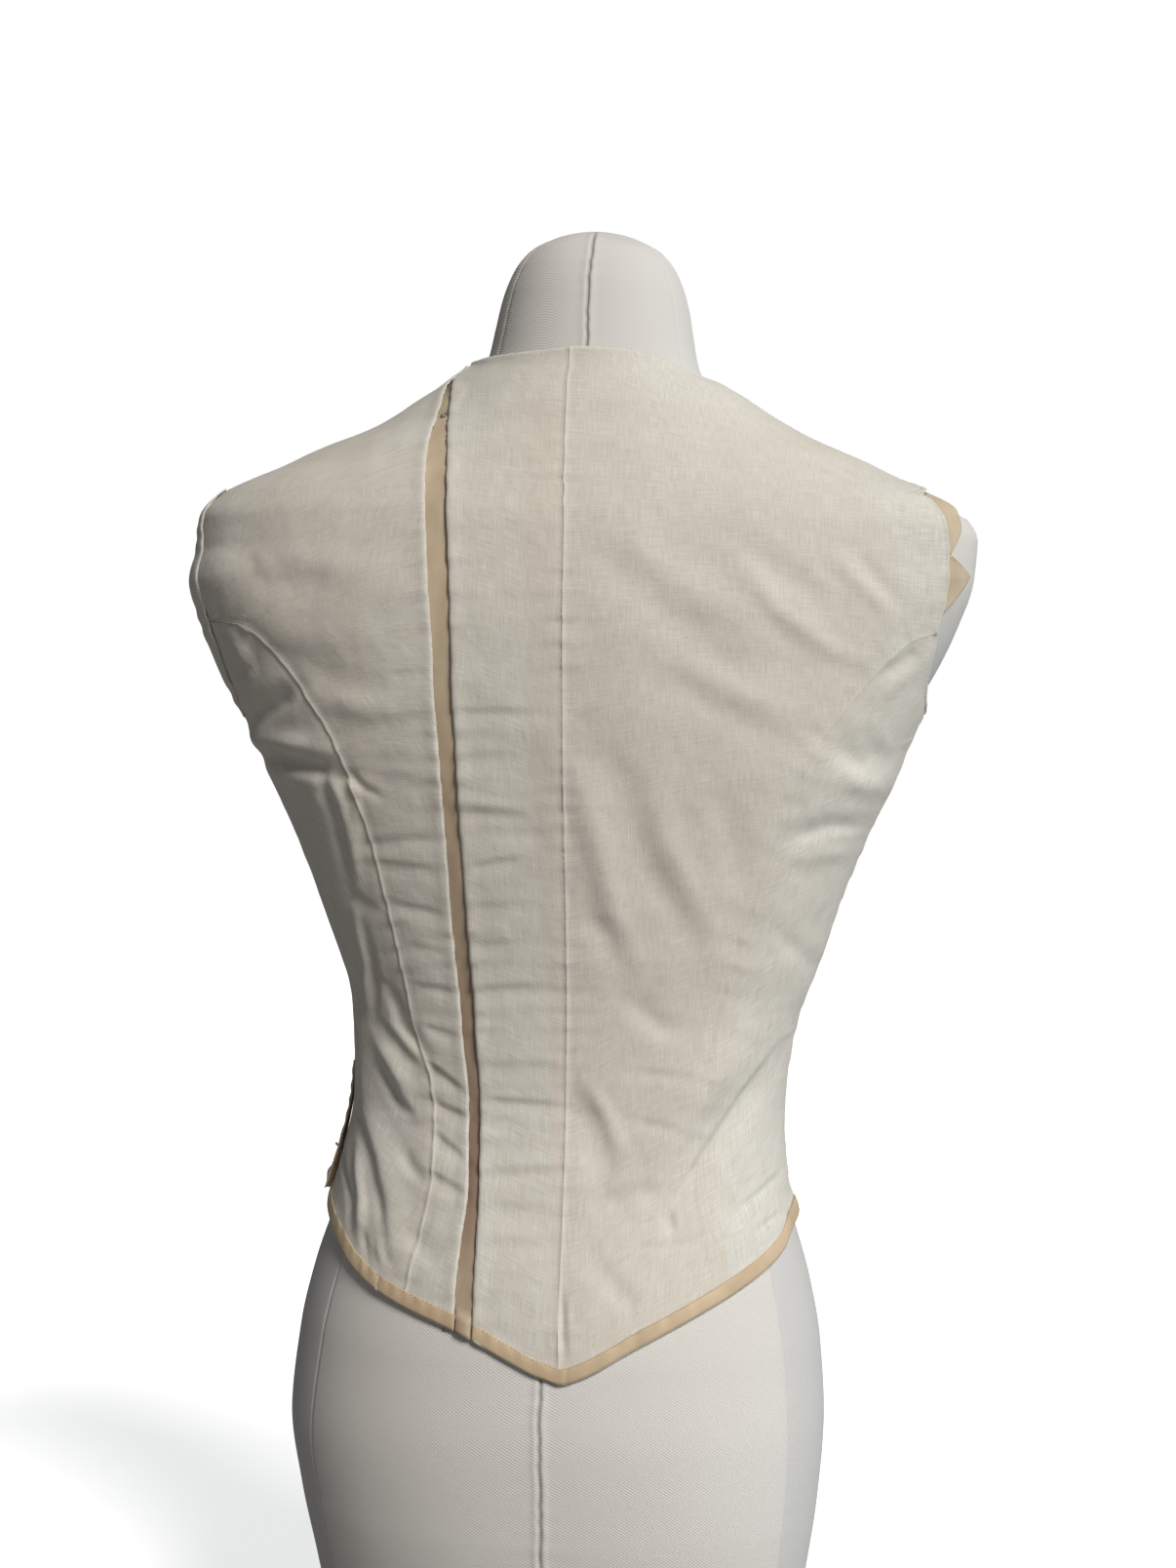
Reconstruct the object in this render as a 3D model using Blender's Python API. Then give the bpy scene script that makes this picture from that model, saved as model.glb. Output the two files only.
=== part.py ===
"""Corset top of cream calico with tan bindings, worn on a limbless dress form.

Metres, +Z up.  The back of the garment faces -Y, its right side is at +X, and the origin is the
middle of the form's flat base.  Angles go round the form in degrees from the centre back: 90 is
the right side, -90 the left side, and 180 the centre front.
"""
from collections import namedtuple
from math import atan2, copysign, cos, degrees, exp, hypot, radians, sin

import bmesh
import bpy
from mathutils import Matrix, Vector

# Cloth
WALL = 0.0015
SEAM_GAP = 0.0006
LEAST_EASE = 0.0024

# Bindings and strips
BINDING_WIDTH = 0.0090
BINDING_WALL = 0.0010
LAYER_GAP = 0.0003
PLACKET_WALL = 0.0010
PLACKET_DROP = 0.0005
PLACKET_TUCK = 0.0080
TRIM_SEAT = 0.0004
TRIM_TUCK = 4.0

# Heights that the panels share
WAIST_LINE = 0.335
CHEST_LINE = 0.500
ARMHOLE_LINE = 0.629
CAP_LINE = 0.700
SHOULDER_LINE = 0.711

# Side opening, hooks and snap
OPENING_ANGLE = -83.0
OPENING_TOP = 0.368
OPENING_STRIP = 0.0100
OPENING_PROUD = 0.0035
OPENING_FOOT_GAP = 0.0012
HOOK_HEIGHTS = {"side_hook_upper": 0.322, "side_hook_lower": 0.304}
HOOK_LENGTH = 0.0090
HOOK_WIRE = 0.0011
HOOK_LEAN = 0.45
SNAP_HEIGHT = 0.7405
SNAP_RADIUS = 0.0020
SNAP_CROWN = 0.0016
SNAP_THICKNESS = 0.0010

# Mesh fineness
FORM_SEGMENTS = 40
ROUND_SEGMENTS = 12
LONG_STEP = 0.045
SHARP_EDGE = 50.0
OPENING_ROWS = 8
OPENING_COLUMNS = 2
EDGE_STEPS = 30
ARMHOLE_BUNCHING = 1.4

# Horizontal sections of the dress form
Section = namedtuple("Section", "height half_width back front shift middle power")
FORM_SECTIONS = (
    Section(0.000, 0.1280, 0.098, 0.084, 0.0080, 0.000, 2.30),
    Section(0.045, 0.1360, 0.106, 0.087, 0.0070, 0.000, 2.30),
    Section(0.085, 0.1435, 0.113, 0.089, 0.0050, 0.000, 2.30),
    Section(0.125, 0.1510, 0.119, 0.091, 0.0025, 0.000, 2.30),
    Section(0.169, 0.1560, 0.121, 0.093, 0.0000, 0.000, 2.25),
    Section(0.215, 0.1525, 0.116, 0.094, 0.0000, 0.000, 2.20),
    Section(0.250, 0.1455, 0.107, 0.095, 0.0000, 0.000, 2.20),
    Section(0.284, 0.1350, 0.096, 0.095, 0.0000, 0.000, 2.20),
    Section(0.307, 0.1275, 0.089, 0.093, 0.0000, 0.000, 2.20),
    Section(0.353, 0.1215, 0.080, 0.089, 0.0000, 0.000, 2.20),
    Section(0.399, 0.1235, 0.080, 0.091, 0.0000, 0.000, 2.20),
    Section(0.445, 0.1330, 0.085, 0.099, 0.0000, 0.000, 2.20),
    Section(0.500, 0.1510, 0.093, 0.112, 0.0000, 0.000, 2.15),
    Section(0.540, 0.1690, 0.098, 0.122, 0.0000, 0.000, 2.10),
    Section(0.585, 0.1935, 0.101, 0.124, 0.0010, 0.000, 2.05),
    Section(0.607, 0.2060, 0.101, 0.121, 0.0012, 0.000, 2.00),
    Section(0.630, 0.2160, 0.100, 0.115, 0.0015, 0.000, 2.00),
    Section(0.660, 0.2255, 0.096, 0.101, 0.0015, 0.000, 2.00),
    Section(0.683, 0.2270, 0.091, 0.089, 0.0015, 0.000, 2.00),
    Section(0.696, 0.2185, 0.086, 0.082, 0.0030, 0.000, 2.00),
    Section(0.703, 0.2030, 0.083, 0.078, 0.0010, 0.000, 2.00),
    Section(0.711, 0.1815, 0.080, 0.074, 0.0000, 0.001, 2.00),
    Section(0.723, 0.1560, 0.076, 0.070, 0.0000, 0.002, 2.00),
    Section(0.735, 0.1295, 0.072, 0.066, 0.0000, 0.004, 2.00),
    Section(0.745, 0.1125, 0.069, 0.063, 0.0000, 0.005, 2.00),
    Section(0.754, 0.0985, 0.066, 0.060, 0.0000, 0.006, 2.05),
    Section(0.763, 0.0840, 0.063, 0.058, 0.0000, 0.007, 2.10),
    Section(0.772, 0.0685, 0.060, 0.056, 0.0000, 0.008, 2.10),
    Section(0.785, 0.0622, 0.058, 0.054, 0.0000, 0.010, 2.10),
    Section(0.802, 0.0588, 0.055, 0.052, 0.0000, 0.011, 2.10),
    Section(0.819, 0.0555, 0.052, 0.050, 0.0000, 0.012, 2.10),
    Section(0.836, 0.0495, 0.046, 0.045, 0.0000, 0.012, 2.10),
    Section(0.848, 0.0410, 0.038, 0.037, 0.0000, 0.012, 2.10),
    Section(0.856, 0.0280, 0.026, 0.026, 0.0000, 0.012, 2.00),
    Section(0.860, 0.0160, 0.015, 0.015, 0.0000, 0.012, 2.00),
    Section(0.862, 0.0040, 0.004, 0.004, 0.0000, 0.012, 2.00),
)

# How far the cloth stands off the form at its left, right, back and front
Ease = namedtuple("Ease", "height left right back front")
CLOTH_EASE = (
    Ease(0.205, 0.0024, 0.0024, 0.0024, 0.0024),
    Ease(0.261, 0.0026, 0.0024, 0.0028, 0.0026),
    Ease(0.307, 0.0045, 0.0028, 0.0035, 0.0035),
    Ease(0.353, 0.0032, 0.0040, 0.0040, 0.0040),
    Ease(0.399, 0.0036, 0.0085, 0.0040, 0.0050),
    Ease(0.445, 0.0075, 0.0125, 0.0035, 0.0060),
    Ease(0.500, 0.0120, 0.0130, 0.0032, 0.0060),
    Ease(0.540, 0.0140, 0.0125, 0.0030, 0.0040),
    Ease(0.585, 0.0130, 0.0055, 0.0030, 0.0030),
    Ease(0.630, 0.0130, 0.0030, 0.0030, 0.0026),
    Ease(0.648, 0.0120, 0.0030, 0.0028, 0.0024),
    Ease(0.668, 0.0050, 0.0036, 0.0026, 0.0024),
    Ease(0.696, 0.0030, 0.0056, 0.0026, 0.0046),
    Ease(0.711, 0.0038, 0.0065, 0.0028, 0.0054),
    Ease(0.735, 0.0038, 0.0044, 0.0028, 0.0056),
    Ease(0.760, 0.0040, 0.0032, 0.0028, 0.0052),
    Ease(0.772, 0.0070, 0.0024, 0.0026, 0.0024),
    Ease(0.790, 0.0080, 0.0024, 0.0026, 0.0024),
)

# Angles of the seams on the back
BackSeams = namedtuple("BackSeams", "height left_princess slot_left slot_right centre right_princess")
BACK_SEAMS = (
    BackSeams(0.205, -31.5, -16.0, -12.4, 2.5, 37.5),
    BackSeams(0.262, -30.2, -18.0, -14.1, 2.1, 37.2),
    BackSeams(0.306, -29.5, -18.7, -16.0, 2.1, 36.0),
    BackSeams(0.335, -31.0, -20.3, -17.3, 2.0, 37.6),
    BackSeams(0.364, -33.0, -21.3, -18.2, 1.8, 39.5),
    BackSeams(0.400, -39.8, -23.2, -19.6, 1.5, 41.0),
    BackSeams(0.449, -41.7, -23.9, -20.1, 0.9, 43.7),
    BackSeams(0.505, -42.9, -23.1, -19.9, 0.2, 45.4),
    BackSeams(0.550, -45.0, -22.1, -19.0, -0.3, 46.6),
    BackSeams(0.589, -50.4, -21.6, -18.6, -0.9, 52.0),
    BackSeams(0.612, -55.5, -21.3, -18.3, -1.2, 57.0),
    BackSeams(0.622, -62.0, -21.2, -18.2, -1.3, 61.0),
    BackSeams(0.629, -80.0, -21.2, -18.1, -1.4, 68.0),
    BackSeams(0.651, -80.0, -21.0, -17.9, -1.5, 66.5),
    BackSeams(0.684, -80.0, -21.7, -18.6, -1.8, 63.5),
    BackSeams(0.692, -80.0, -22.7, -19.4, -2.3, 63.0),
    BackSeams(0.700, -80.0, -24.1, -20.6, -2.4, 62.5),
    BackSeams(0.706, -80.0, -25.8, -22.0, -2.2, 62.5),
    BackSeams(0.711, -80.0, -27.8, -23.7, -2.3, 62.5),
    BackSeams(0.716, -80.0, -29.8, -25.5, -2.5, 62.5),
    BackSeams(0.723, -80.0, -32.8, -28.3, -2.9, 62.5),
    BackSeams(0.731, -80.0, -37.4, -33.0, -3.4, 62.5),
    BackSeams(0.738, -80.0, -41.5, -37.4, -3.9, 62.5),
    BackSeams(0.746, -80.0, -46.4, -42.6, -4.4, 62.5),
    BackSeams(0.755, -80.0, -54.4, -50.4, -4.9, 62.5),
    BackSeams(0.765, -80.0, -68.0, -64.0, -5.7, 62.5),
    BackSeams(0.785, -80.0, -76.0, -71.0, -7.5, 62.5),
)

# Angles of the seams on the plain front
FrontSeams = namedtuple("FrontSeams", "height left_princess right_princess")
FRONT_SEAMS = (
    FrontSeams(0.230, -137.0, 137.0),
    FrontSeams(0.300, -140.0, 140.0),
    FrontSeams(0.360, -141.0, 141.0),
    FrontSeams(0.445, -136.0, 136.0),
    FrontSeams(0.500, -133.0, 133.0),
    FrontSeams(0.560, -129.0, 129.0),
    FrontSeams(0.595, -123.0, 124.0),
    FrontSeams(0.614, -115.0, 119.0),
    FrontSeams(0.629, -101.0, 112.0),
    FrontSeams(0.680, -101.0, 112.0),
    FrontSeams(0.700, -100.0, 112.0),
)

# Heights of the hem, the neckline and the lower armholes round the form
Edge = namedtuple("Edge", "angle height")
HEM = (
    Edge(-180.0, 0.2360), Edge(-150.0, 0.2500), Edge(-120.0, 0.2720), Edge(-90.0, 0.2880),
    Edge(-75.0, 0.2815), Edge(-60.0, 0.2700), Edge(-50.0, 0.2590), Edge(-37.0, 0.2475),
    Edge(-15.0, 0.2315), Edge(-6.0, 0.2205), Edge(0.0, 0.2125), Edge(3.0, 0.2098),
    Edge(6.0, 0.2125), Edge(17.0, 0.2285), Edge(34.5, 0.2480), Edge(49.0, 0.2610),
    Edge(65.0, 0.2740), Edge(77.0, 0.2850), Edge(90.0, 0.2880), Edge(120.0, 0.2720),
    Edge(150.0, 0.2500), Edge(180.0, 0.2360),
)
NECKLINE = (
    Edge(-180.0, 0.7020), Edge(-150.0, 0.7090), Edge(-120.0, 0.7350), Edge(-105.0, 0.7520),
    Edge(-90.0, 0.7640), Edge(-75.0, 0.7715), Edge(-54.0, 0.7770), Edge(-25.0, 0.7796),
    Edge(0.0, 0.7826), Edge(18.0, 0.7824), Edge(39.0, 0.7785), Edge(54.0, 0.7730),
    Edge(70.0, 0.7680), Edge(90.0, 0.7640), Edge(105.0, 0.7520), Edge(120.0, 0.7350),
    Edge(150.0, 0.7090), Edge(180.0, 0.7020),
)
ARMHOLES = (
    Edge(-101.0, 0.6290), Edge(-99.0, 0.5900), Edge(-95.0, 0.5700), Edge(-90.0, 0.5640),
    Edge(-86.0, 0.5680), Edge(-83.0, 0.5820), Edge(-81.5, 0.6020), Edge(-80.0, 0.6290),
    Edge(68.0, 0.6290), Edge(71.5, 0.6130), Edge(75.0, 0.6010), Edge(80.0, 0.5930),
    Edge(85.0, 0.5895), Edge(90.0, 0.5880), Edge(95.0, 0.5895), Edge(100.0, 0.5930),
    Edge(106.0, 0.6050), Edge(112.0, 0.6290),
)

# The largest folds: a crest or trough between two places, given across and up
Fold = namedtuple("Fold", "face across_1 height_1 across_2 height_2 width rise")
BACK = -1
FRONT = 1
FOLDS = (
    Fold(BACK, 0.030, 0.690, 0.165, 0.612, 0.024, 0.0022),
    Fold(BACK, 0.012, 0.655, 0.130, 0.570, 0.022, -0.0012),
    Fold(BACK, 0.014, 0.570, 0.046, 0.455, 0.020, -0.0014),
    Fold(BACK, 0.060, 0.560, 0.090, 0.450, 0.026, 0.0018),
    Fold(BACK, 0.012, 0.362, 0.032, 0.310, 0.016, -0.0012),
    Fold(BACK, 0.128, 0.395, 0.072, 0.300, 0.014, 0.0026),
    Fold(BACK, 0.118, 0.345, 0.092, 0.285, 0.012, -0.0010),
    Fold(BACK, 0.140, 0.562, 0.182, 0.548, 0.014, -0.0022),
    Fold(BACK, 0.150, 0.585, 0.188, 0.572, 0.014, 0.0018),
    Fold(BACK, 0.126, 0.512, 0.162, 0.520, 0.014, -0.0020),
    Fold(BACK, -0.042, 0.474, -0.006, 0.468, 0.015, -0.0012),
    Fold(BACK, -0.040, 0.420, -0.004, 0.414, 0.015, 0.0012),
    Fold(BACK, -0.036, 0.358, 0.000, 0.352, 0.014, -0.0012),
    Fold(BACK, -0.036, 0.338, 0.000, 0.334, 0.014, 0.0012),
    Fold(BACK, -0.104, 0.476, -0.068, 0.462, 0.015, -0.0014),
    Fold(BACK, -0.090, 0.398, -0.058, 0.372, 0.015, 0.0014),
    Fold(BACK, -0.196, 0.592, -0.130, 0.552, 0.020, 0.0030),
    Fold(BACK, -0.180, 0.560, -0.124, 0.528, 0.016, -0.0030),
    Fold(BACK, -0.118, 0.372, -0.100, 0.292, 0.014, 0.0024),
    Fold(BACK, -0.096, 0.352, -0.086, 0.280, 0.012, -0.0010),
    Fold(BACK, -0.205, 0.668, -0.150, 0.640, 0.022, 0.0018),
    Fold(FRONT, -0.150, 0.560, -0.100, 0.470, 0.022, 0.0022),
    Fold(FRONT, 0.150, 0.560, 0.100, 0.470, 0.022, 0.0022),
    Fold(FRONT, -0.105, 0.370, -0.075, 0.300, 0.018, 0.0016),
    Fold(FRONT, 0.105, 0.370, 0.075, 0.300, 0.018, 0.0016),
)
FOLD_FADE = 0.35

# Turned edges along the slot stand a little proud
SLOT_LIP = 0.0010
SLOT_LIP_WIDTH = 0.0060

# Colours, roughness and metallic values
CALICO = ((0.760, 0.710, 0.600, 1.0), 0.85, 0.0)
TAN = ((0.620, 0.440, 0.270, 1.0), 0.55, 0.0)
FORM_TWILL = ((0.640, 0.610, 0.560, 1.0), 0.90, 0.0)
STEEL = ((0.550, 0.550, 0.540, 1.0), 0.30, 1.0)


def remove_objects():
    """Empty the scene before the model is made."""
    for item in list(bpy.data.objects):
        bpy.data.objects.remove(item, do_unlink=True)


def between(rows, column, place):
    """Read one column of a table at any place, on a smooth curve without overshoot."""
    keys = [row[0] for row in rows]
    values = [getattr(row, column) for row in rows]
    place = min(max(place, keys[0]), keys[-1])
    index = 0
    while index < len(keys) - 2 and place > keys[index + 1]:
        index += 1
    slopes = []
    for i in range(len(keys) - 1):
        slopes.append((values[i + 1] - values[i]) / (keys[i + 1] - keys[i]))

    def tangent(i):
        before = slopes[max(i - 1, 0)]
        after = slopes[min(i, len(slopes) - 1)]
        if before * after <= 0.0:
            return 0.0
        return 2.0 * before * after / (before + after)

    span = keys[index + 1] - keys[index]
    t = (place - keys[index]) / span
    start = values[index] * (2 * t ** 3 - 3 * t * t + 1) + tangent(index) * span * (t ** 3 - 2 * t * t + t)
    end = values[index + 1] * (3 * t * t - 2 * t ** 3) + tangent(index + 1) * span * (t ** 3 - t * t)
    return start + end


def mix(first, second, share):
    """Blend two numbers."""
    return first + (second - first) * share


def form_point(angle, height):
    """A point on the dress form."""
    row = {name: between(FORM_SECTIONS, name, height) for name in Section._fields[1:]}
    across = sin(radians(angle))
    along = cos(radians(angle))
    depth = row["back"] if along > 0.0 else row["front"]
    power = 2.0 / row["power"]
    x = row["shift"] + row["half_width"] * copysign(abs(across) ** power, across)
    y = row["middle"] - depth * copysign(abs(along) ** power, along)
    return Vector((x, y, height))


def form_normal(angle, height):
    """The outward direction of the dress form at a point."""
    turn = 1.0
    climb = 0.002
    round_it = form_point(angle + turn, height) - form_point(angle - turn, height)
    up_it = form_point(angle, height + climb) - form_point(angle, height - climb)
    return round_it.cross(up_it).normalized()


def fold_rise(point, angle):
    """The rise of all the large folds at a point of the form."""
    face = BACK if abs(angle) < 90.0 else FRONT
    total = 0.0
    for fold in FOLDS:
        if fold.face != face:
            continue
        run = fold.across_2 - fold.across_1
        climb = fold.height_2 - fold.height_1
        length = hypot(run, climb)
        dx = point.x - fold.across_1
        dz = point.z - fold.height_1
        along = (dx * run + dz * climb) / (length * length)
        aside = (dx * climb - dz * run) / length
        beyond = max(0.0, FOLD_FADE - along, along - 1.0 + FOLD_FADE) / FOLD_FADE
        total += fold.rise * exp(-(2.0 * aside / fold.width) ** 2 - beyond * beyond)
    return total


def arc(angle, height):
    """Metres of the form's girth per degree."""
    return (form_point(angle + 0.5, height) - form_point(angle - 0.5, height)).length


def slot_lip(angle, height):
    """The rise of the turned edges beside the slot."""
    rise = 0.0
    for edge in ("slot_left", "slot_right"):
        away = (angle - between(BACK_SEAMS, edge, height)) * arc(angle, height)
        rise += SLOT_LIP * exp(-(away / SLOT_LIP_WIDTH) ** 2)
    return rise


def ease(angle, height):
    """How far the cloth's inside stands off the form."""
    across = sin(radians(angle))
    along = cos(radians(angle))
    side = between(CLOTH_EASE, "right" if across > 0.0 else "left", height)
    face = between(CLOTH_EASE, "back" if along > 0.0 else "front", height)
    stand = side * across * across + face * along * along
    stand += fold_rise(form_point(angle, height), angle)
    if abs(angle) < 90.0:
        stand += slot_lip(angle, height)
    return max(stand, LEAST_EASE)


def cloth_point(angle, height, lift):
    """A point of the cloth, lifted off its inner face."""
    return form_point(angle, height) + form_normal(angle, height) * (ease(angle, height) + lift)


def angle_of(seam, height):
    """The angle of a seam or an edge at a height."""
    if seam == "left_side":
        return -90.0
    if seam == "right_side":
        return 90.0
    if seam == "centre_front_right":
        return 180.0
    if seam == "centre_front_left":
        return -180.0
    if seam in ("back_left_edge", "front_left_edge"):
        if height >= CAP_LINE:
            return -90.0
    if seam in ("back_right_edge", "front_right_edge"):
        if height >= SHOULDER_LINE:
            return 90.0
    edges = {
        "back_left_edge": (BACK_SEAMS, "left_princess"),
        "back_right_edge": (BACK_SEAMS, "right_princess"),
        "front_left_edge": (FRONT_SEAMS, "left_princess"),
        "front_right_edge": (FRONT_SEAMS, "right_princess"),
        "slot_left": (BACK_SEAMS, "slot_left"),
        "slot_right": (BACK_SEAMS, "slot_right"),
        "centre": (BACK_SEAMS, "centre"),
    }
    rows, column = edges[seam]
    return between(rows, column, height)


def edge_angle(seam, edge):
    """The angle where a seam meets the hem, the neckline or an armhole."""
    angle = angle_of(seam, edge[len(edge) // 2].height)
    for _ in range(EDGE_STEPS):
        angle = angle_of(seam, between(edge, "height", angle))
    return angle


# Bands of rows from the hem up: the lines between them and the rows in each
FULL_BANDS = (1, 6, 12, 9, 6, 1, 5)
SIDE_BANDS = FULL_BANDS[:4]
ARMHOLE_BAND = 3


def row_levels(bands):
    """Each row as its band and its share of the band's height."""
    levels = [(0, 0.0)]
    for band, count in enumerate(bands):
        for row in range(1, count + 1):
            share = row / count
            if band == ARMHOLE_BAND:
                share = 1.0 - (1.0 - share) ** ARMHOLE_BUNCHING
            levels.append((band, share))
    return levels


def row_height(level, hem_height, top_height, side):
    """The height of a row where the hem and the top have these heights."""
    if side:
        lines = (hem_height, hem_height + BINDING_WIDTH, WAIST_LINE, CHEST_LINE, top_height)
    else:
        lines = (hem_height, hem_height + BINDING_WIDTH, WAIST_LINE, CHEST_LINE,
                 ARMHOLE_LINE, CAP_LINE, SHOULDER_LINE, top_height)
    band, share = level
    return mix(lines[band], lines[band + 1], share)


# The panels, each between two seams
Panel = namedtuple("Panel", "start end columns side")
PANELS = {
    "back_left_side": Panel("left_side", "back_left_edge", 5, True),
    "back_left": Panel("back_left_edge", "slot_left", 6, False),
    "back_centre": Panel("slot_right", "centre", 6, False),
    "back_right": Panel("centre", "back_right_edge", 11, False),
    "back_right_side": Panel("back_right_edge", "right_side", 5, True),
    "front_right_side": Panel("right_side", "front_right_edge", 4, True),
    "front_right": Panel("front_right_edge", "centre_front_right", 8, False),
    "front_left": Panel("centre_front_left", "front_left_edge", 8, False),
    "front_left_side": Panel("front_left_edge", "left_side", 4, True),
}


def panel_place(panel, share, level):
    """The angle and height of a panel's point, by its share across and its row."""
    top = ARMHOLES if panel.side else NECKLINE
    hem_angle = mix(edge_angle(panel.start, HEM), edge_angle(panel.end, HEM), share)
    top_angle = mix(edge_angle(panel.start, top), edge_angle(panel.end, top), share)
    hem_height = between(HEM, "height", hem_angle)
    top_height = between(top, "height", top_angle)
    height = row_height(level, hem_height, top_height, panel.side)
    ends = []
    for seam in (panel.start, panel.end):
        seam_hem = between(HEM, "height", edge_angle(seam, HEM))
        seam_top = between(top, "height", edge_angle(seam, top))
        ends.append(angle_of(seam, row_height(level, seam_hem, seam_top, panel.side)))
    angle = mix(ends[0], ends[1], share)
    inset = SEAM_GAP / 2.0 / arc(angle, height)
    if share == 0.0:
        angle += inset
    elif share == 1.0:
        angle -= inset
    return angle, height


def finish_object(name, bm, look, smooth):
    """Turn a closed mesh into a named object with its own material."""
    bmesh.ops.recalc_face_normals(bm, faces=bm.faces[:])
    mesh = bpy.data.meshes.new(name)
    bm.to_mesh(mesh)
    bm.free()
    if smooth:
        mesh.shade_smooth()
        mesh.set_sharp_from_angle(angle=radians(SHARP_EDGE))
    colour, roughness, metallic = look
    material = bpy.data.materials.new(name)
    material.use_nodes = True
    shader = material.node_tree.nodes["Principled BSDF"]
    shader.inputs["Base Color"].default_value = colour
    shader.inputs["Roughness"].default_value = roughness
    shader.inputs["Metallic"].default_value = metallic
    mesh.materials.append(material)
    item = bpy.data.objects.new(name, mesh)
    bpy.context.scene.collection.objects.link(item)
    return item


def make_wall(name, columns, rows, place, look):
    """A closed wall of cloth: place(column, row, outer) gives each of its points."""
    bm = bmesh.new()
    bmesh.ops.create_grid(bm, x_segments=columns, y_segments=rows, size=1.0)
    for vertex in bm.verts:
        vertex.co.z = 0.0
    made = bmesh.ops.extrude_face_region(bm, geom=bm.faces[:], use_keep_orig=True)
    for item in made["geom"]:
        if isinstance(item, bmesh.types.BMVert):
            item.co.z = 1.0
    for vertex in bm.verts:
        column = round((vertex.co.x + 1.0) / 2.0 * columns)
        row = round((vertex.co.y + 1.0) / 2.0 * rows)
        vertex.co = place(column, row, vertex.co.z > 0.5)
    return finish_object(name, bm, look, True)


def make_form():
    """The dress form: rings drawn up from its flat base to the top of its neck."""
    heights = []
    for lower, upper in zip(FORM_SECTIONS, FORM_SECTIONS[1:]):
        steps = 2 if upper.height - lower.height > LONG_STEP else 1
        for step in range(steps):
            heights.append(mix(lower.height, upper.height, step / steps))
    heights.append(FORM_SECTIONS[-1].height)
    bm = bmesh.new()
    turn = bm.verts.layers.float.new("turn")
    bmesh.ops.create_circle(bm, cap_ends=True, radius=1.0, segments=FORM_SEGMENTS)
    for vertex in bm.verts:
        vertex[turn] = degrees(atan2(vertex.co.x, -vertex.co.y))
        vertex.co = form_point(vertex[turn], heights[0])
    ring = bm.edges[:]
    for height in heights[1:]:
        made = bmesh.ops.extrude_edge_only(bm, edges=ring)
        ring = [item for item in made["geom"] if isinstance(item, bmesh.types.BMEdge)]
        for item in made["geom"]:
            if isinstance(item, bmesh.types.BMVert):
                item.co = form_point(item[turn], height)
        ring = [edge for edge in ring if len(edge.link_faces) == 1]
    bmesh.ops.edgeloop_fill(bm, edges=ring)
    finish_object("dress_form", bm, FORM_TWILL, True)


def make_panel(name, panel):
    """One cut piece of the garment, from the hem to its top edge."""
    levels = row_levels(SIDE_BANDS if panel.side else FULL_BANDS)

    def place(column, row, outer):
        angle, height = panel_place(panel, column / panel.columns, levels[row])
        return cloth_point(angle, height, WALL if outer else 0.0)

    make_wall(name, panel.columns, len(levels) - 1, place, CALICO)


def make_hem_binding(name, panel_names):
    """A length of bias binding over the hem of neighbouring panels."""
    levels = row_levels(SIDE_BANDS)[:2]
    stations = []
    for panel_name in panel_names:
        panel = PANELS[panel_name]
        for column in range(panel.columns + 1):
            stations.append((panel, column / panel.columns))

    def place(column, row, outer):
        panel, share = stations[column]
        angle, height = panel_place(panel, share, levels[row])
        lift = WALL + LAYER_GAP + (BINDING_WALL if outer else 0.0)
        return cloth_point(angle, height, lift)

    make_wall(name, len(stations) - 1, 1, place, TAN)


def make_placket():
    """The tan strip behind the slot, tucked under both turned edges."""
    levels = row_levels(FULL_BANDS)
    left = PANELS["back_left"]
    right = PANELS["back_centre"]

    def place(column, row, outer):
        left_angle, left_height = panel_place(left, 1.0, levels[row])
        right_angle, right_height = panel_place(right, 0.0, levels[row])
        stations = (
            (left_angle, left_height, -PLACKET_TUCK),
            (left_angle, left_height, 0.0),
            (right_angle, right_height, 0.0),
            (right_angle, right_height, PLACKET_TUCK),
        )
        angle, height, tuck = stations[column]
        angle += tuck / arc(angle, height)
        lift = -PLACKET_DROP - (0.0 if outer else PLACKET_WALL)
        return cloth_point(angle, height, lift)

    make_wall("placket_strip", 3, len(levels) - 1, place, TAN)


# Pointed tan pieces that show past the right armhole: their lower end, point and upper end
Tab = namedtuple("Tab", "low point_height high low_angle point_angle high_angle proud")
TABS = {
    "armhole_trim_upper": Tab(0.6716, 0.690, 0.6995, 66.5, 72.5, 68.0, 0.0014),
    "armhole_trim_lower": Tab(0.640, 0.661, 0.6708, 69.0, 77.0, 67.0, 0.0014),
}
TAB_ROWS = 6
TAB_COLUMNS = 3


def make_tab(name, tab):
    """A pointed piece of tan cloth on the form's right cap, tucked under the armhole edge."""

    def place(column, row, outer):
        height = mix(tab.low, tab.high, row / TAB_ROWS)
        if height < tab.point_height:
            share = (height - tab.low) / (tab.point_height - tab.low)
            reach = mix(tab.low_angle, tab.point_angle, share)
        else:
            share = (height - tab.point_height) / (tab.high - tab.point_height)
            reach = mix(tab.point_angle, tab.high_angle, share)
        start = angle_of("back_right_edge", height) - TRIM_TUCK
        across = column / TAB_COLUMNS
        angle = mix(start, reach, across)
        lift = TRIM_SEAT + tab.proud * across * across + (BINDING_WALL if outer else 0.0)
        return form_point(angle, height) + form_normal(angle, height) * lift

    make_wall(name, TAB_COLUMNS, TAB_ROWS, place, TAN)


def opening_foot():
    """The height where the side opening's strip starts, just above the hem binding."""
    return between(HEM, "height", OPENING_ANGLE) + BINDING_WIDTH + OPENING_FOOT_GAP


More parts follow.
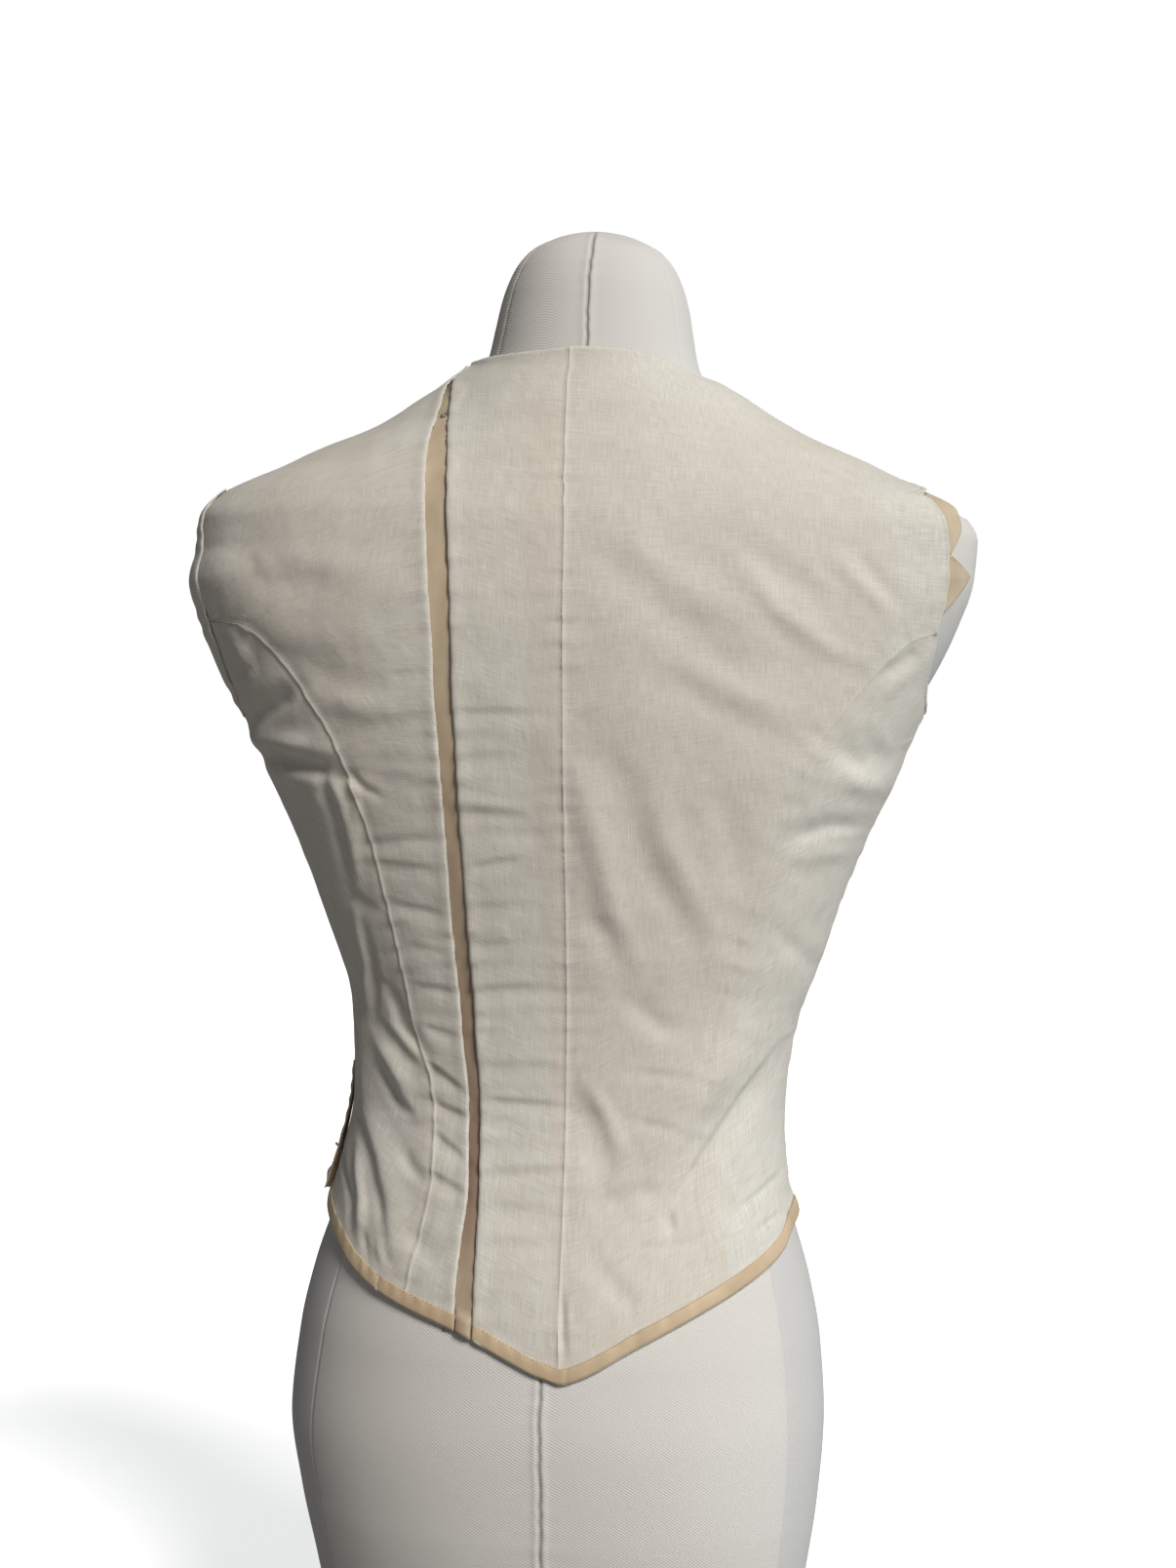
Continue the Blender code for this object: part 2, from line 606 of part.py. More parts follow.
def opening_point(along, height, lift):
    """A point of the side opening's strip, whose back edge stands proud of the cloth."""
    angle = OPENING_ANGLE - (along - 0.5) * OPENING_STRIP / arc(OPENING_ANGLE, height)
    climb = (height - opening_foot()) / (OPENING_TOP - opening_foot())
    proud = OPENING_PROUD * (1.0 - along) * (1.0 - climb)
    return cloth_point(angle, height, WALL + LAYER_GAP + proud + lift)


def make_side_opening():
    """The bound edge that climbs the left side from the hem."""

    def place(column, row, outer):
        height = mix(opening_foot(), OPENING_TOP, row / OPENING_ROWS)
        return opening_point(column / OPENING_COLUMNS, height, BINDING_WALL if outer else 0.0)

    make_wall("side_opening_binding", OPENING_COLUMNS, OPENING_ROWS, place, TAN)


def make_hooks():
    """Small wire hooks sewn along the side opening."""
    for name, height in HOOK_HEIGHTS.items():
        bm = bmesh.new()
        bmesh.ops.create_cone(bm, cap_ends=True, segments=ROUND_SEGMENTS, radius1=HOOK_WIRE,
                              radius2=HOOK_WIRE, depth=HOOK_LENGTH)
        outward = form_normal(OPENING_ANGLE, height)
        lean = (Vector((0.0, 0.0, 1.0)) - outward * HOOK_LEAN).normalized()
        rise = HOOK_LENGTH / 2.0 * HOOK_LEAN
        seat = opening_point(0.0, height, BINDING_WALL + LAYER_GAP + rise)
        turn = Vector((0.0, 0.0, 1.0)).rotation_difference(lean).to_matrix().to_4x4()
        bmesh.ops.transform(bm, verts=bm.verts[:], matrix=Matrix.Translation(seat) @ turn)
        finish_object(name, bm, STEEL, True)


def make_snap():
    """The small round snap at the top of the slot."""
    left = angle_of("slot_left", SNAP_HEIGHT)
    right = angle_of("slot_right", SNAP_HEIGHT)
    angle = (left + right) / 2.0
    bm = bmesh.new()
    bmesh.ops.create_cone(bm, cap_ends=True, segments=ROUND_SEGMENTS, radius1=SNAP_RADIUS,
                          radius2=SNAP_CROWN, depth=SNAP_THICKNESS)
    outward = form_normal(angle, SNAP_HEIGHT)
    seat = cloth_point(angle, SNAP_HEIGHT, -PLACKET_DROP + LAYER_GAP + SNAP_THICKNESS / 2.0)
    turn = Vector((0.0, 0.0, 1.0)).rotation_difference(outward).to_matrix().to_4x4()
    bmesh.ops.transform(bm, verts=bm.verts[:], matrix=Matrix.Translation(seat) @ turn)
    finish_object("snap", bm, STEEL, True)


def main():
    """Build the form, the garment's panels and what is sewn on them."""
    remove_objects()
    make_form()
    for name, panel in PANELS.items():
        make_panel(name, panel)
    make_hem_binding("hem_binding_left", ("back_left_side", "back_left"))
    make_hem_binding("hem_binding_right", ("back_centre", "back_right", "back_right_side"))
    make_hem_binding("hem_binding_front",
                     ("front_right_side", "front_right", "front_left", "front_left_side"))
    make_placket()
    for name, tab in TABS.items():
        make_tab(name, tab)
    make_side_opening()
    make_hooks()
    make_snap()


main()
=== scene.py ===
from collections import namedtuple
from functools import lru_cache
from math import cos, pi, radians, sin

import bmesh
import bpy
import numpy as np
from mathutils import Matrix, Vector, noise


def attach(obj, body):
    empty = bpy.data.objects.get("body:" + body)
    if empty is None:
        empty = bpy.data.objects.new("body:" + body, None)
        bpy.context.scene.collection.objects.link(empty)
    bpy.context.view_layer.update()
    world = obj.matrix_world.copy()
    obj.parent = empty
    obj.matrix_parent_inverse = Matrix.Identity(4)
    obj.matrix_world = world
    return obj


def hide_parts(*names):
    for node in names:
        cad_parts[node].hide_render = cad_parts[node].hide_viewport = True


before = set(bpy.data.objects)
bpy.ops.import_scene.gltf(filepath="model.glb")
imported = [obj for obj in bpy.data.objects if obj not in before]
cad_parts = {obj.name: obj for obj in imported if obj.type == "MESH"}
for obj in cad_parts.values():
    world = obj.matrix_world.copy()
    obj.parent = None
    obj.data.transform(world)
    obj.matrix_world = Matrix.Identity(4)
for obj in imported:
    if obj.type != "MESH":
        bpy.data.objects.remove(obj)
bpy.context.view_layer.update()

# Angles go round the form in degrees from the centre back: 90 is the right side, -90 the left
# side and 180 the centre front.  Lengths are metres, except where a table says millimetres.
MM = 0.001
BODY = "root"
UP = Vector((0.0, 0.0, 1.0))

# Camera: how far it stands, its turn towards the right side, its tilt and the view's size
CAMERA_DISTANCE = 1.4
CAMERA_TURN = 4.5
CAMERA_ROLL = 1.86
CAMERA_ACROSS = 0.0057
CAMERA_HEIGHT = 0.535
CAMERA_LENS = 54.51
SENSOR = 36.0

# Far soft lights: azimuth 0 comes from behind the camera and 90 from the right side
Lamp = namedtuple("Lamp", "name azimuth elevation softness strength colour")
LAMPS = (
    Lamp("key", 38.0, 40.0, 24.0, 3.10, (1.0, 0.982, 0.955)),
    Lamp("side", 88.0, 12.0, 40.0, 0.75, (0.72, 0.88, 1.0)),
)
ROOM_GLOW = 0.11
ROOM_COLOUR = (0.96, 0.97, 1.0, 1.0)
SEEN_ROOM = (1.0, 1.0, 1.0, 1.0)
FLOOR_GLOW = 0.70
FLOOR_SIZE = 9.0

# Colours
DEEP_CALICO = (0.665, 0.598, 0.525, 1.0)
# The backed tone is also the colour of the painted highlight along raised seam edges
BACKED_AND_HIGHLIT_CALICO = (0.698, 0.686, 0.634, 1.0)
AGED_CALICO = (0.680, 0.622, 0.535, 1.0)
THREAD_SHADE = (0.530, 0.480, 0.400, 1.0)
FLECK = (0.340, 0.265, 0.180, 1.0)
TAN_DEEP = (0.500, 0.370, 0.235, 1.0)
TAN_PALE = (0.600, 0.455, 0.300, 1.0)
PLACKET_DEEP = (0.490, 0.390, 0.265, 1.0)
PLACKET_PALE = (0.570, 0.465, 0.320, 1.0)
PLACKET_SHADE = (0.255, 0.165, 0.118, 1.0)
FORM_PALE = (0.672, 0.646, 0.606, 1.0)
FORM_WARM = (0.640, 0.606, 0.552, 1.0)
FORM_SHADE = (0.570, 0.540, 0.505, 1.0)
FORM_SIDE = (0.470, 0.475, 0.490, 1.0)
FORM_SEAM = (0.300, 0.270, 0.235, 1.0)
THREAD_DEEP = (0.600, 0.560, 0.450, 1.0)
THREAD_PALE = (0.760, 0.720, 0.610, 1.0)
NICKEL_DARK = (0.380, 0.370, 0.350, 1.0)
NICKEL_PALE = (0.660, 0.650, 0.620, 1.0)
FLOOR_PALE = (0.950, 0.950, 0.945, 1.0)
FLOOR_BOUNCE = (0.280, 0.280, 0.280, 1.0)

# Threads and ribs in a metre of each cloth, and the flecks
CALICO_THREADS = 1700.0
TAN_THREADS = 2600.0
FORM_RIBS = 620.0
FLECK_SIZE = 0.017
FLECK_CELLS = 42.0
FLECK_RARITY = 0.80
SIDE_SHARE = 0.40
SEAM_SHARE = 0.55

# Cloth
WALL = 0.0015
CLOTH = 0.0009
SEAM_GAP = 0.0001
LEAST_EASE = 0.0024
HEM_HUG = 0.0018
HUG_HEIGHT = 0.028
LEAST_STAND = 0.0019
STAND_BLEND = 0.0008
LEAST_LIFT = 0.0007

# Faint unevenness all over the cloth
Crumple = namedtuple("Crumple", "waves_a_metre size")
CRUMPLES = (Crumple(21.0, 0.0011), Crumple(47.0, 0.0005), Crumple(115.0, 0.00013))

# Where the creases of the back give way to those of the front, and where they fade to the hem
BACK_END = 95.0
BACK_BLEND = 10.0
END_FADE = 0.30
END_KEEP = 0.30
SHOULDERS = 0.80
HEM_KEEP = 0.15
HEM_FADE_START = 0.005
HEM_FADE_END = 0.022
STRAIN_SOFT = 3.0
STRAIN_GAIN = 0.90

# Waves along a line whose rate in radians strays
Waver = namedtuple("Waver", "size rate stray stray_rate")
BINDING_WAVER = Waver(0.00022, 2 * pi / 0.0093, 1.9, 55.0)
PLACKET_WAVER = Waver(0.00025, 61.0, 2.2, 23.0)
TURNING_WAVER = Waver(0.0003, 390.0, 2.0, 140.0)
OPENING_WAVER = Waver(0.0003, 2 * pi / 0.011, 2.0, 90.0)
FORM_WAVERS = (Waver(0.0003, 437.0, 1.9, 181.0), Waver(0.0006, 71.0, 0.0, 0.0))

# Hem binding, with the places where a stitch pinches it
BINDING_WIDTH = 0.0090
BINDING_RETURN = 0.0060
BINDING_CLOTH = 0.0005
BINDING_LIFT = 0.0005
BINDING_PUFF = 0.0005
BINDING_STRETCH = 1.05
BINDING_SQUARE = 0.7
BINDING_INSIDE = -0.0022
BINDING_FOLD = 0.001
BINDING_FOLD_STEP = 0.0003
BINDING_DROP = 0.0004
BINDING_LEVEL = 0.26
BINDING_RINGS = 14
BINDING_COLUMNS = 2.9
Pinch = namedtuple("Pinch", "angle depth width")
PINCHES = (Pinch(4.0, 0.0005, 0.0009), Pinch(-38.5, 0.00035, 0.0009), Pinch(-46.0, 0.0002, 0.0016))

# Strip behind the slot, with the painted shade that darkens it where it lies deep in the slot
PLACKET_DROP = 0.0017
PLACKET_TUCK = 0.0070
PLACKET_PROUD = 0.0012
PLACKET_FOOT = (0.0085, 0.0125)
PLACKET_ROWS = 260
PLACKET_COLUMNS = 13
TUCK_COLUMNS = 5
Shade = namedtuple("Shade", "height share")
PLACKET_SHADES = tuple(Shade(*row) for row in (
    (0.225, 0.30), (0.262, 0.40), (0.290, 0.80), (0.320, 0.95), (0.380, 0.75), (0.460, 0.45),
    (0.550, 0.18), (0.620, 0.00),
))

# The turned edge of the left armhole, with the angles of its inner and outer lines
Turning = namedtuple("Turning", "height inner outer")
TURNING = tuple(Turning(*row) for row in (
    (0.574, -79.5, -81.0), (0.586, -75.5, -82.0), (0.612, -74.0, -83.0), (0.640, -73.5, -84.0),
    (0.668, -74.5, -85.0), (0.688, -78.0, -86.0), (0.698, -84.0, -87.0),
))
TURNING_ROWS = 120
TURNING_COLUMNS = 10
TURNING_LIFT = 0.0007

# Pointed trims past the right armhole
Tab = namedtuple("Tab", "low point_height high low_angle point_angle high_angle proud top_proud")
TABS = {
    "armhole_trim_upper": Tab(0.6716, 0.690, 0.7040, 66.5, 71.5, 75.0, 0.0014, 0.0030),
    "armhole_trim_lower": Tab(0.640, 0.661, 0.6708, 69.0, 77.0, 67.0, 0.0014, 0.0),
}
TAB_ROWS = 40
TAB_COLUMNS = 24
TAB_UNDER = 4.0
TAB_LIFT = 0.0009
TAB_FOLD = 0.0007
TAB_FOLD_WIDTH = 0.006

# Side opening
OPENING_ANGLE = -83.0
OPENING_TOP = 0.368
OPENING_STRIP = 0.0100
OPENING_PROUD = 0.0035
OPENING_FOOT_GAP = 0.0012
OPENING_OVERLAP = 0.0060
OPENING_PUFF = 0.0013
OPENING_SQUARE = 0.6
OPENING_TAPER = 0.02
KNOT_SIZE = 0.0022
KNOT_PLACE = 0.004
OPENING_ROWS = 60
OPENING_COLUMNS = 13

# Hooks: two eyes on shanks and a curled beak, of bent wire
HOOK_HEIGHTS = {"side_hook_upper": 0.322, "side_hook_lower": 0.304}
HOOK_PLACE = 0.10
HOOK_LIFT = 0.0004
HOOK_LEAN = 0.20
EYE_ASIDE = 0.0014
EYE_ABOVE = 0.0030
EYE_RADIUS = 0.0011
EYE_WIRE = 0.00045
EYE_TURNS = (radians(-60.0), radians(250.0))
SHANK_ASIDE = 0.0005
SHANK_TOP = -0.0026
SHANK_FOOT = 0.0040
SHANK_WIRE = 0.00050
BEAK_DROP = 0.0011
BEAK_OUT = 0.0008
BEAK_WIRE = 0.00070
BEAK_TURN = radians(200.0)

# Snap: cones on each other, as shares of its radius
SnapRing = namedtuple("SnapRing", "foot top depth lift")
SNAP_RINGS = (
    SnapRing(1.0, 0.92, 0.0005, 0.0), SnapRing(0.62, 0.50, 0.0005, 0.0004),
    SnapRing(0.30, 0.18, 0.0004, 0.0008),
)
SNAP_HEIGHT = 0.7405
SNAP_RADIUS = 0.0020
SNAP_LIFT = 0.0004
SNAP_SIDES = 28
METAL_EDGE = radians(50.0)

# Stitches
STITCH_SPACING = 0.0026
STITCH_LENGTH = 0.0017
STITCH_RADIUS = 0.00016
HEM_STITCH_PLACE = BINDING_WIDTH - 0.0008
HEM_STITCH_LIFT = 0.0006
ARMHOLE_STITCH_LIFT = -0.0001
StitchRow = namedtuple("StitchRow", "name seam turn low high")
ARMHOLE_STITCHES = (
    StitchRow("left_armhole_stitches", "back_left_edge", 2.0, 0.625, 0.700),
    StitchRow("right_armhole_stitches", "back_right_edge", -1.6, 0.632, 0.700),
)

# Heights that the panels share, and the angles where the armholes leave the back and the front
HEM_LEVEL = 0.245
WAIST_LINE = 0.335
CHEST_LINE = 0.500
ARMHOLE_LINE = 0.629
LEFT_ARMHOLE = (-80.0, -101.0)
RIGHT_ARMHOLE = (68.0, 112.0)
CAP_START = 0.688
CAP_LINE = 0.700
SHOULDER_LINE = 0.711
NECK_LEVEL = 0.775
CAP_ROUNDING = 0.8

# Mesh fineness
STEP = 0.0017
FRONT_STEP = 0.0034
EDGE_STEPS = (0.0, 0.0004, 0.0009, 0.0015, 0.0023, 0.0033, 0.0046, 0.0063)
EDGE_TURNS = 30
ARMHOLE_BUNCHING = 1.4
ARMHOLE_BAND = 3
NEAREST_BATCH = 4000

# The dress form's cover: its rows, its seams and their relief
Stretch = namedtuple("Stretch", "low high step")
FORM_STRETCHES = tuple(Stretch(*row) for row in (
    (0.000, 0.030, 0.0030), (0.030, 0.290, 0.0021), (0.290, 0.560, 0.0100),
    (0.560, 0.715, 0.0040), (0.715, 0.772, 0.0060), (0.772, 0.850, 0.0019),
    (0.850, 0.862, 0.0008),
))
FORM_FINE = 2.4
FORM_FINE_STEP = 0.16
FORM_COLUMNS = 120
FORM_GIRTH = 0.13
FormSeams = namedtuple("FormSeams", "back_left back_right front_left front_right front_centre")
FORM_SEAMS = FormSeams(-57.0, 58.0, -122.0, 122.0, 180.0)
FORM_SEAM_TURNS = (-0.9, -0.6, -0.3, 0.0, 0.3, 0.6, 0.9)
FORM_SEAM_TONE = 0.0011
FORM_TURN = 0.3
FORM_SIDE_TOP = (0.62, 0.66)
FORM_STITCH = 0.0052
FORM_STITCH_SHARE = 0.25
FORM_FOOT_FADE = (0.0, 0.004)
FORM_TOP_FADE = (0.852, 0.859)
FORM_WELD = 0.00002

# Relief beside seams and edges: soft ridges, or troughs where the rise is below zero, and gathers
Ridge = namedtuple("Ridge", "rise place width")
Gathers = namedtuple("Gathers", "spacing size reach")
UPPER_LAP = (Ridge(1.0, 0.0006, 0.0010), Ridge(-0.30, 0.0042, 0.0024))
UNDER_LAP = (Ridge(0.70, 0.0, 0.0005), Ridge(-0.35, 0.0021, 0.0013))
SLOT_EDGE = (Ridge(-0.0008, 0.0, 0.0008), Ridge(0.0006, 0.0022, 0.0045))
SLOT_GATHERS = Gathers(0.0155, 0.00055, 0.0110)
NECK_EDGE = (Ridge(-0.0008, 0.0, 0.0008), Ridge(0.0002, 0.0020, 0.0016))
ARMHOLE_EDGE = (
    Ridge(-0.0008, 0.0, 0.0008), Ridge(0.0005, 0.0016, 0.0014), Ridge(-0.0005, 0.0036, 0.0007),
)
ARMHOLE_GATHERS = Gathers(0.0140, 0.00035, 0.0070)
FORM_GROOVE = Ridge(-0.0011, 0.0, 0.0008)
FORM_ROLL = Ridge(0.0006, 0.0022, 0.0016)
FORM_GATHERS = Gathers(0.0104, 0.00022, 0.0060)
FORM_SIDE_GROOVE = Ridge(-0.0006, 0.0, 0.0010)
FORM_SIDE_GATHERS = Gathers(0.0160, 0.00012, 0.0060)

# How gathers stray from their spacing, how they lean and how uneven they are
GATHER_STRAY = 2.1
GATHER_STRAY_RATE = 37.0
GATHER_LEAN = 0.6
GATHER_UNEVEN = 0.40
GATHER_UNEVEN_RATE = 61.0

# Which panel's edge laps over at a seam, how high it stands, and the seam's gathers
Lap = namedtuple("Lap", "upper height gathers")
LAPS = {
    "centre": Lap("back_right", 0.00042, Gathers(0.0118, 0.00036, 0.0095)),
    "left_princess": Lap("back_left", 0.00044, Gathers(0.0135, 0.00045, 0.0085)),
    "right_princess": Lap("back_right", 0.00020, Gathers(0.0150, 0.00030, 0.0085)),
    "left_side": Lap("back_left_side", 0.00040, Gathers(0.0150, 0.00035, 0.0080)),
    "right_side": Lap("back_right_side", 0.00040, Gathers(0.0150, 0.00035, 0.0080)),
    "front_left_princess": Lap("front_left", 0.00050, Gathers(0.0150, 0.00035, 0.0080)),
    "front_right_princess": Lap("front_right", 0.00050, Gathers(0.0150, 0.00035, 0.0080)),
}

# How deep the facings and allowances behind the cloth are and how they tone it, from 0 for darker
# than single cloth to 1 for lighter
Behind = namedtuple("Behind", "depth tone")
SINGLE_TONE = 0.40
SIDE_TONE = 1.00
FACINGS = {
    "slot_left": Behind(0.036, 0.80), "slot_right": Behind(0.042, 0.85), "neckline": Behind(0.034, 0.75),
    "left_armhole": Behind(0.055, 0.75), "right_armhole": Behind(0.036, 0.90),
    "centre": Behind(0.0195, 0.10),
}
ALLOWANCE = Behind(0.010, 0.50)
BACKING_BLUR = 0.0015

# Edges that show a painted highlight, a pale line where the raised edge catches the light, with the height
# where the line has faded out
HIGHLIT_EDGES = {"centre": 1.0, "left_princess": 0.53, "right_princess": 0.33, "neckline": 1.0}
HIGHLIGHT_WIDTH = 0.0010
HIGHLIGHT_SHARE = 0.75
HIGHLIGHT_FADE = 0.05

# Each panel's seams at its low and high angle, whether it is a side, its width and its rows' step,
# the sewn seams that touch it and its turned free edges
Panel = namedtuple("Panel", "start end side width step seams edges")
PANELS = {
    "back_left_side": Panel("left_side", "back_left_edge", True, 0.085, STEP,
                            ("left_princess", "left_side"), ("left_armhole",)),
    "back_left": Panel("back_left_edge", "slot_left", False, 0.105, STEP,
                       ("left_princess",), ("left_armhole", "neckline", "slot_left")),
    "back_centre": Panel("slot_right", "centre", False, 0.062, STEP,
                         ("centre",), ("neckline", "slot_right")),
    "back_right": Panel("centre", "back_right_edge", False, 0.165, STEP,
                        ("centre", "right_princess"), ("right_armhole", "neckline")),
    "back_right_side": Panel("back_right_edge", "right_side", True, 0.080, STEP,
                             ("right_princess", "right_side"), ("right_armhole",)),
    "front_right_side": Panel("right_side", "front_right_edge", True, 0.085, FRONT_STEP,
                              ("right_side", "front_right_princess"), ("right_armhole",)),
    "front_right": Panel("front_right_edge", "centre_front_right", False, 0.130, FRONT_STEP,
                         ("front_right_princess",), ("right_armhole", "neckline")),
    "front_left": Panel("centre_front_left", "front_left_edge", False, 0.130, FRONT_STEP,
                        ("front_left_princess",), ("left_armhole", "neckline")),
    "front_left_side": Panel("front_left_edge", "left_side", True, 0.085, FRONT_STEP,
                             ("front_left_princess", "left_side"), ("left_armhole",)),
}

# Horizontal sections of the dress form
Section = namedtuple("Section", "height half_width back front shift middle power")
FORM_SECTIONS = tuple(Section(*row) for row in (
    (0.000, 0.1280, 0.098, 0.084, 0.0080, 0.000, 2.30),
    (0.045, 0.1360, 0.106, 0.087, 0.0070, 0.000, 2.30),
    (0.085, 0.1435, 0.113, 0.089, 0.0050, 0.000, 2.30),
    (0.125, 0.1510, 0.119, 0.091, 0.0025, 0.000, 2.30),
    (0.169, 0.1560, 0.121, 0.093, 0.0000, 0.000, 2.25),
    (0.215, 0.1525, 0.116, 0.094, 0.0000, 0.000, 2.20),
    (0.250, 0.1455, 0.107, 0.095, 0.0000, 0.000, 2.20),
    (0.284, 0.1350, 0.096, 0.095, 0.0000, 0.000, 2.20),
    (0.307, 0.1275, 0.089, 0.093, 0.0000, 0.000, 2.20),
    (0.353, 0.1215, 0.080, 0.089, 0.0000, 0.000, 2.20),
    (0.399, 0.1235, 0.080, 0.091, 0.0000, 0.000, 2.20),
    (0.445, 0.1330, 0.085, 0.099, 0.0000, 0.000, 2.20),
    (0.500, 0.1510, 0.093, 0.112, 0.0000, 0.000, 2.15),
    (0.540, 0.1690, 0.098, 0.122, 0.0000, 0.000, 2.10),
    (0.585, 0.1935, 0.101, 0.124, 0.0010, 0.000, 2.05),
    (0.607, 0.2060, 0.101, 0.121, 0.0012, 0.000, 2.00),
    (0.630, 0.2160, 0.100, 0.115, 0.0015, 0.000, 2.00),
    (0.660, 0.2255, 0.096, 0.101, 0.0015, 0.000, 2.00),
    (0.683, 0.2270, 0.091, 0.089, 0.0015, 0.000, 2.00),
    (0.696, 0.2185, 0.086, 0.082, 0.0030, 0.000, 2.00),
    (0.703, 0.2030, 0.083, 0.078, 0.0010, 0.000, 2.00),
    (0.711, 0.1815, 0.080, 0.074, 0.0000, 0.001, 2.00),
    (0.723, 0.1560, 0.076, 0.070, 0.0000, 0.002, 2.00),
    (0.735, 0.1295, 0.072, 0.066, 0.0000, 0.004, 2.00),
    (0.745, 0.1125, 0.069, 0.063, 0.0000, 0.005, 2.00),
    (0.754, 0.0985, 0.066, 0.060, 0.0000, 0.006, 2.05),
    (0.763, 0.0840, 0.063, 0.058, 0.0000, 0.007, 2.10),
    (0.772, 0.0685, 0.060, 0.056, 0.0000, 0.008, 2.10),
    (0.785, 0.0622, 0.058, 0.054, 0.0000, 0.010, 2.10),
    (0.802, 0.0588, 0.055, 0.052, 0.0000, 0.011, 2.10),
    (0.819, 0.0555, 0.052, 0.050, 0.0000, 0.012, 2.10),
    (0.836, 0.0495, 0.046, 0.045, 0.0000, 0.012, 2.10),
    (0.848, 0.0410, 0.038, 0.037, 0.0000, 0.012, 2.10),
    (0.856, 0.0280, 0.026, 0.026, 0.0000, 0.012, 2.00),
    (0.860, 0.0160, 0.015, 0.015, 0.0000, 0.012, 2.00),
    (0.862, 0.0040, 0.004, 0.004, 0.0000, 0.012, 2.00),
))

# How far the cloth stands off the form at its left, right, back and front
Ease = namedtuple("Ease", "height left right back front")
CLOTH_EASE = tuple(Ease(*row) for row in (
    (0.205, 0.0024, 0.0024, 0.0024, 0.0024),
    (0.261, 0.0026, 0.0024, 0.0028, 0.0026),
    (0.307, 0.0045, 0.0028, 0.0035, 0.0035),
    (0.353, 0.0032, 0.0040, 0.0040, 0.0040),
    (0.399, 0.0036, 0.0085, 0.0040, 0.0050),
    (0.445, 0.0075, 0.0125, 0.0035, 0.0060),
    (0.500, 0.0120, 0.0130, 0.0032, 0.0060),
    (0.540, 0.0140, 0.0125, 0.0030, 0.0040),
    (0.585, 0.0130, 0.0055, 0.0030, 0.0030),
    (0.630, 0.0130, 0.0030, 0.0030, 0.0026),
    (0.648, 0.0120, 0.0030, 0.0028, 0.0024),
    (0.668, 0.0050, 0.0036, 0.0026, 0.0024),
    (0.696, 0.0030, 0.0056, 0.0026, 0.0046),
    (0.711, 0.0038, 0.0052, 0.0028, 0.0054),
    (0.735, 0.0038, 0.0044, 0.0028, 0.0056),
    (0.760, 0.0040, 0.0032, 0.0028, 0.0052),
    (0.772, 0.0070, 0.0024, 0.0026, 0.0024),
    (0.790, 0.0080, 0.0024, 0.0026, 0.0024),
))

# Angles of the seams on the back
BackSeams = namedtuple("BackSeams", "height left_princess slot_left slot_right centre right_princess")
BACK_SEAMS = tuple(BackSeams(*row) for row in (
    (0.205, -31.5, -16.0, -12.4, 2.5, 37.5),
    (0.262, -30.2, -18.0, -14.1, 2.1, 37.2),
    (0.306, -29.5, -18.7, -16.0, 2.1, 36.0),
    (0.335, -31.0, -20.3, -17.3, 2.0, 37.6),
    (0.364, -33.0, -21.3, -18.2, 1.8, 39.5),
    (0.400, -39.8, -23.2, -19.6, 1.5, 41.0),
    (0.449, -41.7, -23.9, -20.1, 0.9, 43.7),
    (0.505, -42.9, -23.1, -19.9, 0.2, 45.4),
    (0.550, -45.0, -22.1, -19.0, -0.3, 46.6),
    (0.589, -50.4, -21.6, -18.6, -0.9, 52.0),
    (0.612, -55.5, -21.3, -18.3, -1.2, 57.0),
    (0.622, -62.0, -21.2, -18.2, -1.3, 61.0),
    (0.629, -80.0, -21.2, -18.1, -1.4, 68.0),
    (0.651, -80.0, -21.0, -17.9, -1.5, 66.5),
    (0.684, -80.0, -21.7, -18.6, -1.8, 63.5),
    (0.692, -80.0, -22.7, -19.4, -2.3, 63.0),
    (0.700, -80.0, -24.1, -20.6, -2.4, 62.5),
    (0.706, -80.0, -25.8, -22.0, -2.2, 62.5),
    (0.711, -80.0, -27.8, -23.7, -2.3, 62.5),
    (0.716, -80.0, -29.8, -25.5, -2.5, 62.5),
    (0.723, -80.0, -32.8, -28.3, -2.9, 62.5),
    (0.731, -80.0, -37.4, -33.0, -3.4, 62.5),
    (0.738, -80.0, -41.5, -37.4, -3.9, 62.5),
    (0.746, -80.0, -46.4, -42.6, -4.4, 62.5),
    (0.755, -80.0, -54.4, -50.4, -4.9, 62.5),
    (0.765, -80.0, -68.0, -64.0, -5.7, 62.5),
    (0.785, -80.0, -76.0, -71.0, -7.5, 62.5),
))

# Angles of the seams on the plain front
FrontSeams = namedtuple("FrontSeams", "height left_princess right_princess")
FRONT_SEAMS = tuple(FrontSeams(*row) for row in (
    (0.230, -137.0, 137.0),
    (0.300, -140.0, 140.0),
    (0.360, -141.0, 141.0),
    (0.445, -136.0, 136.0),
    (0.500, -133.0, 133.0),
    (0.560, -129.0, 129.0),
    (0.595, -123.0, 124.0),
    (0.614, -115.0, 119.0),
    (0.629, -101.0, 112.0),
    (0.680, -101.0, 112.0),
    (0.700, -100.0, 112.0),
))

# Where each seam's angles are read, and the heights between which it turns to the shoulder
SeamCurve = namedtuple("SeamCurve", "rows column shoulder low high rounding", defaults=(0.0, 1.0, 2.0, 1.0))
SEAM_CURVES = {
    "back_left_edge": SeamCurve(BACK_SEAMS, "left_princess", -90.0, CAP_START, CAP_LINE),
    "back_right_edge": SeamCurve(BACK_SEAMS, "right_princess", 90.0, CAP_LINE, SHOULDER_LINE, CAP_ROUNDING),
    "front_left_edge": SeamCurve(FRONT_SEAMS, "left_princess", -90.0, CAP_START, CAP_LINE),
    "front_right_edge": SeamCurve(FRONT_SEAMS, "right_princess", 90.0, CAP_LINE, SHOULDER_LINE),
    "slot_left": SeamCurve(BACK_SEAMS, "slot_left"),
    "slot_right": SeamCurve(BACK_SEAMS, "slot_right"),
    "centre": SeamCurve(BACK_SEAMS, "centre"),
}
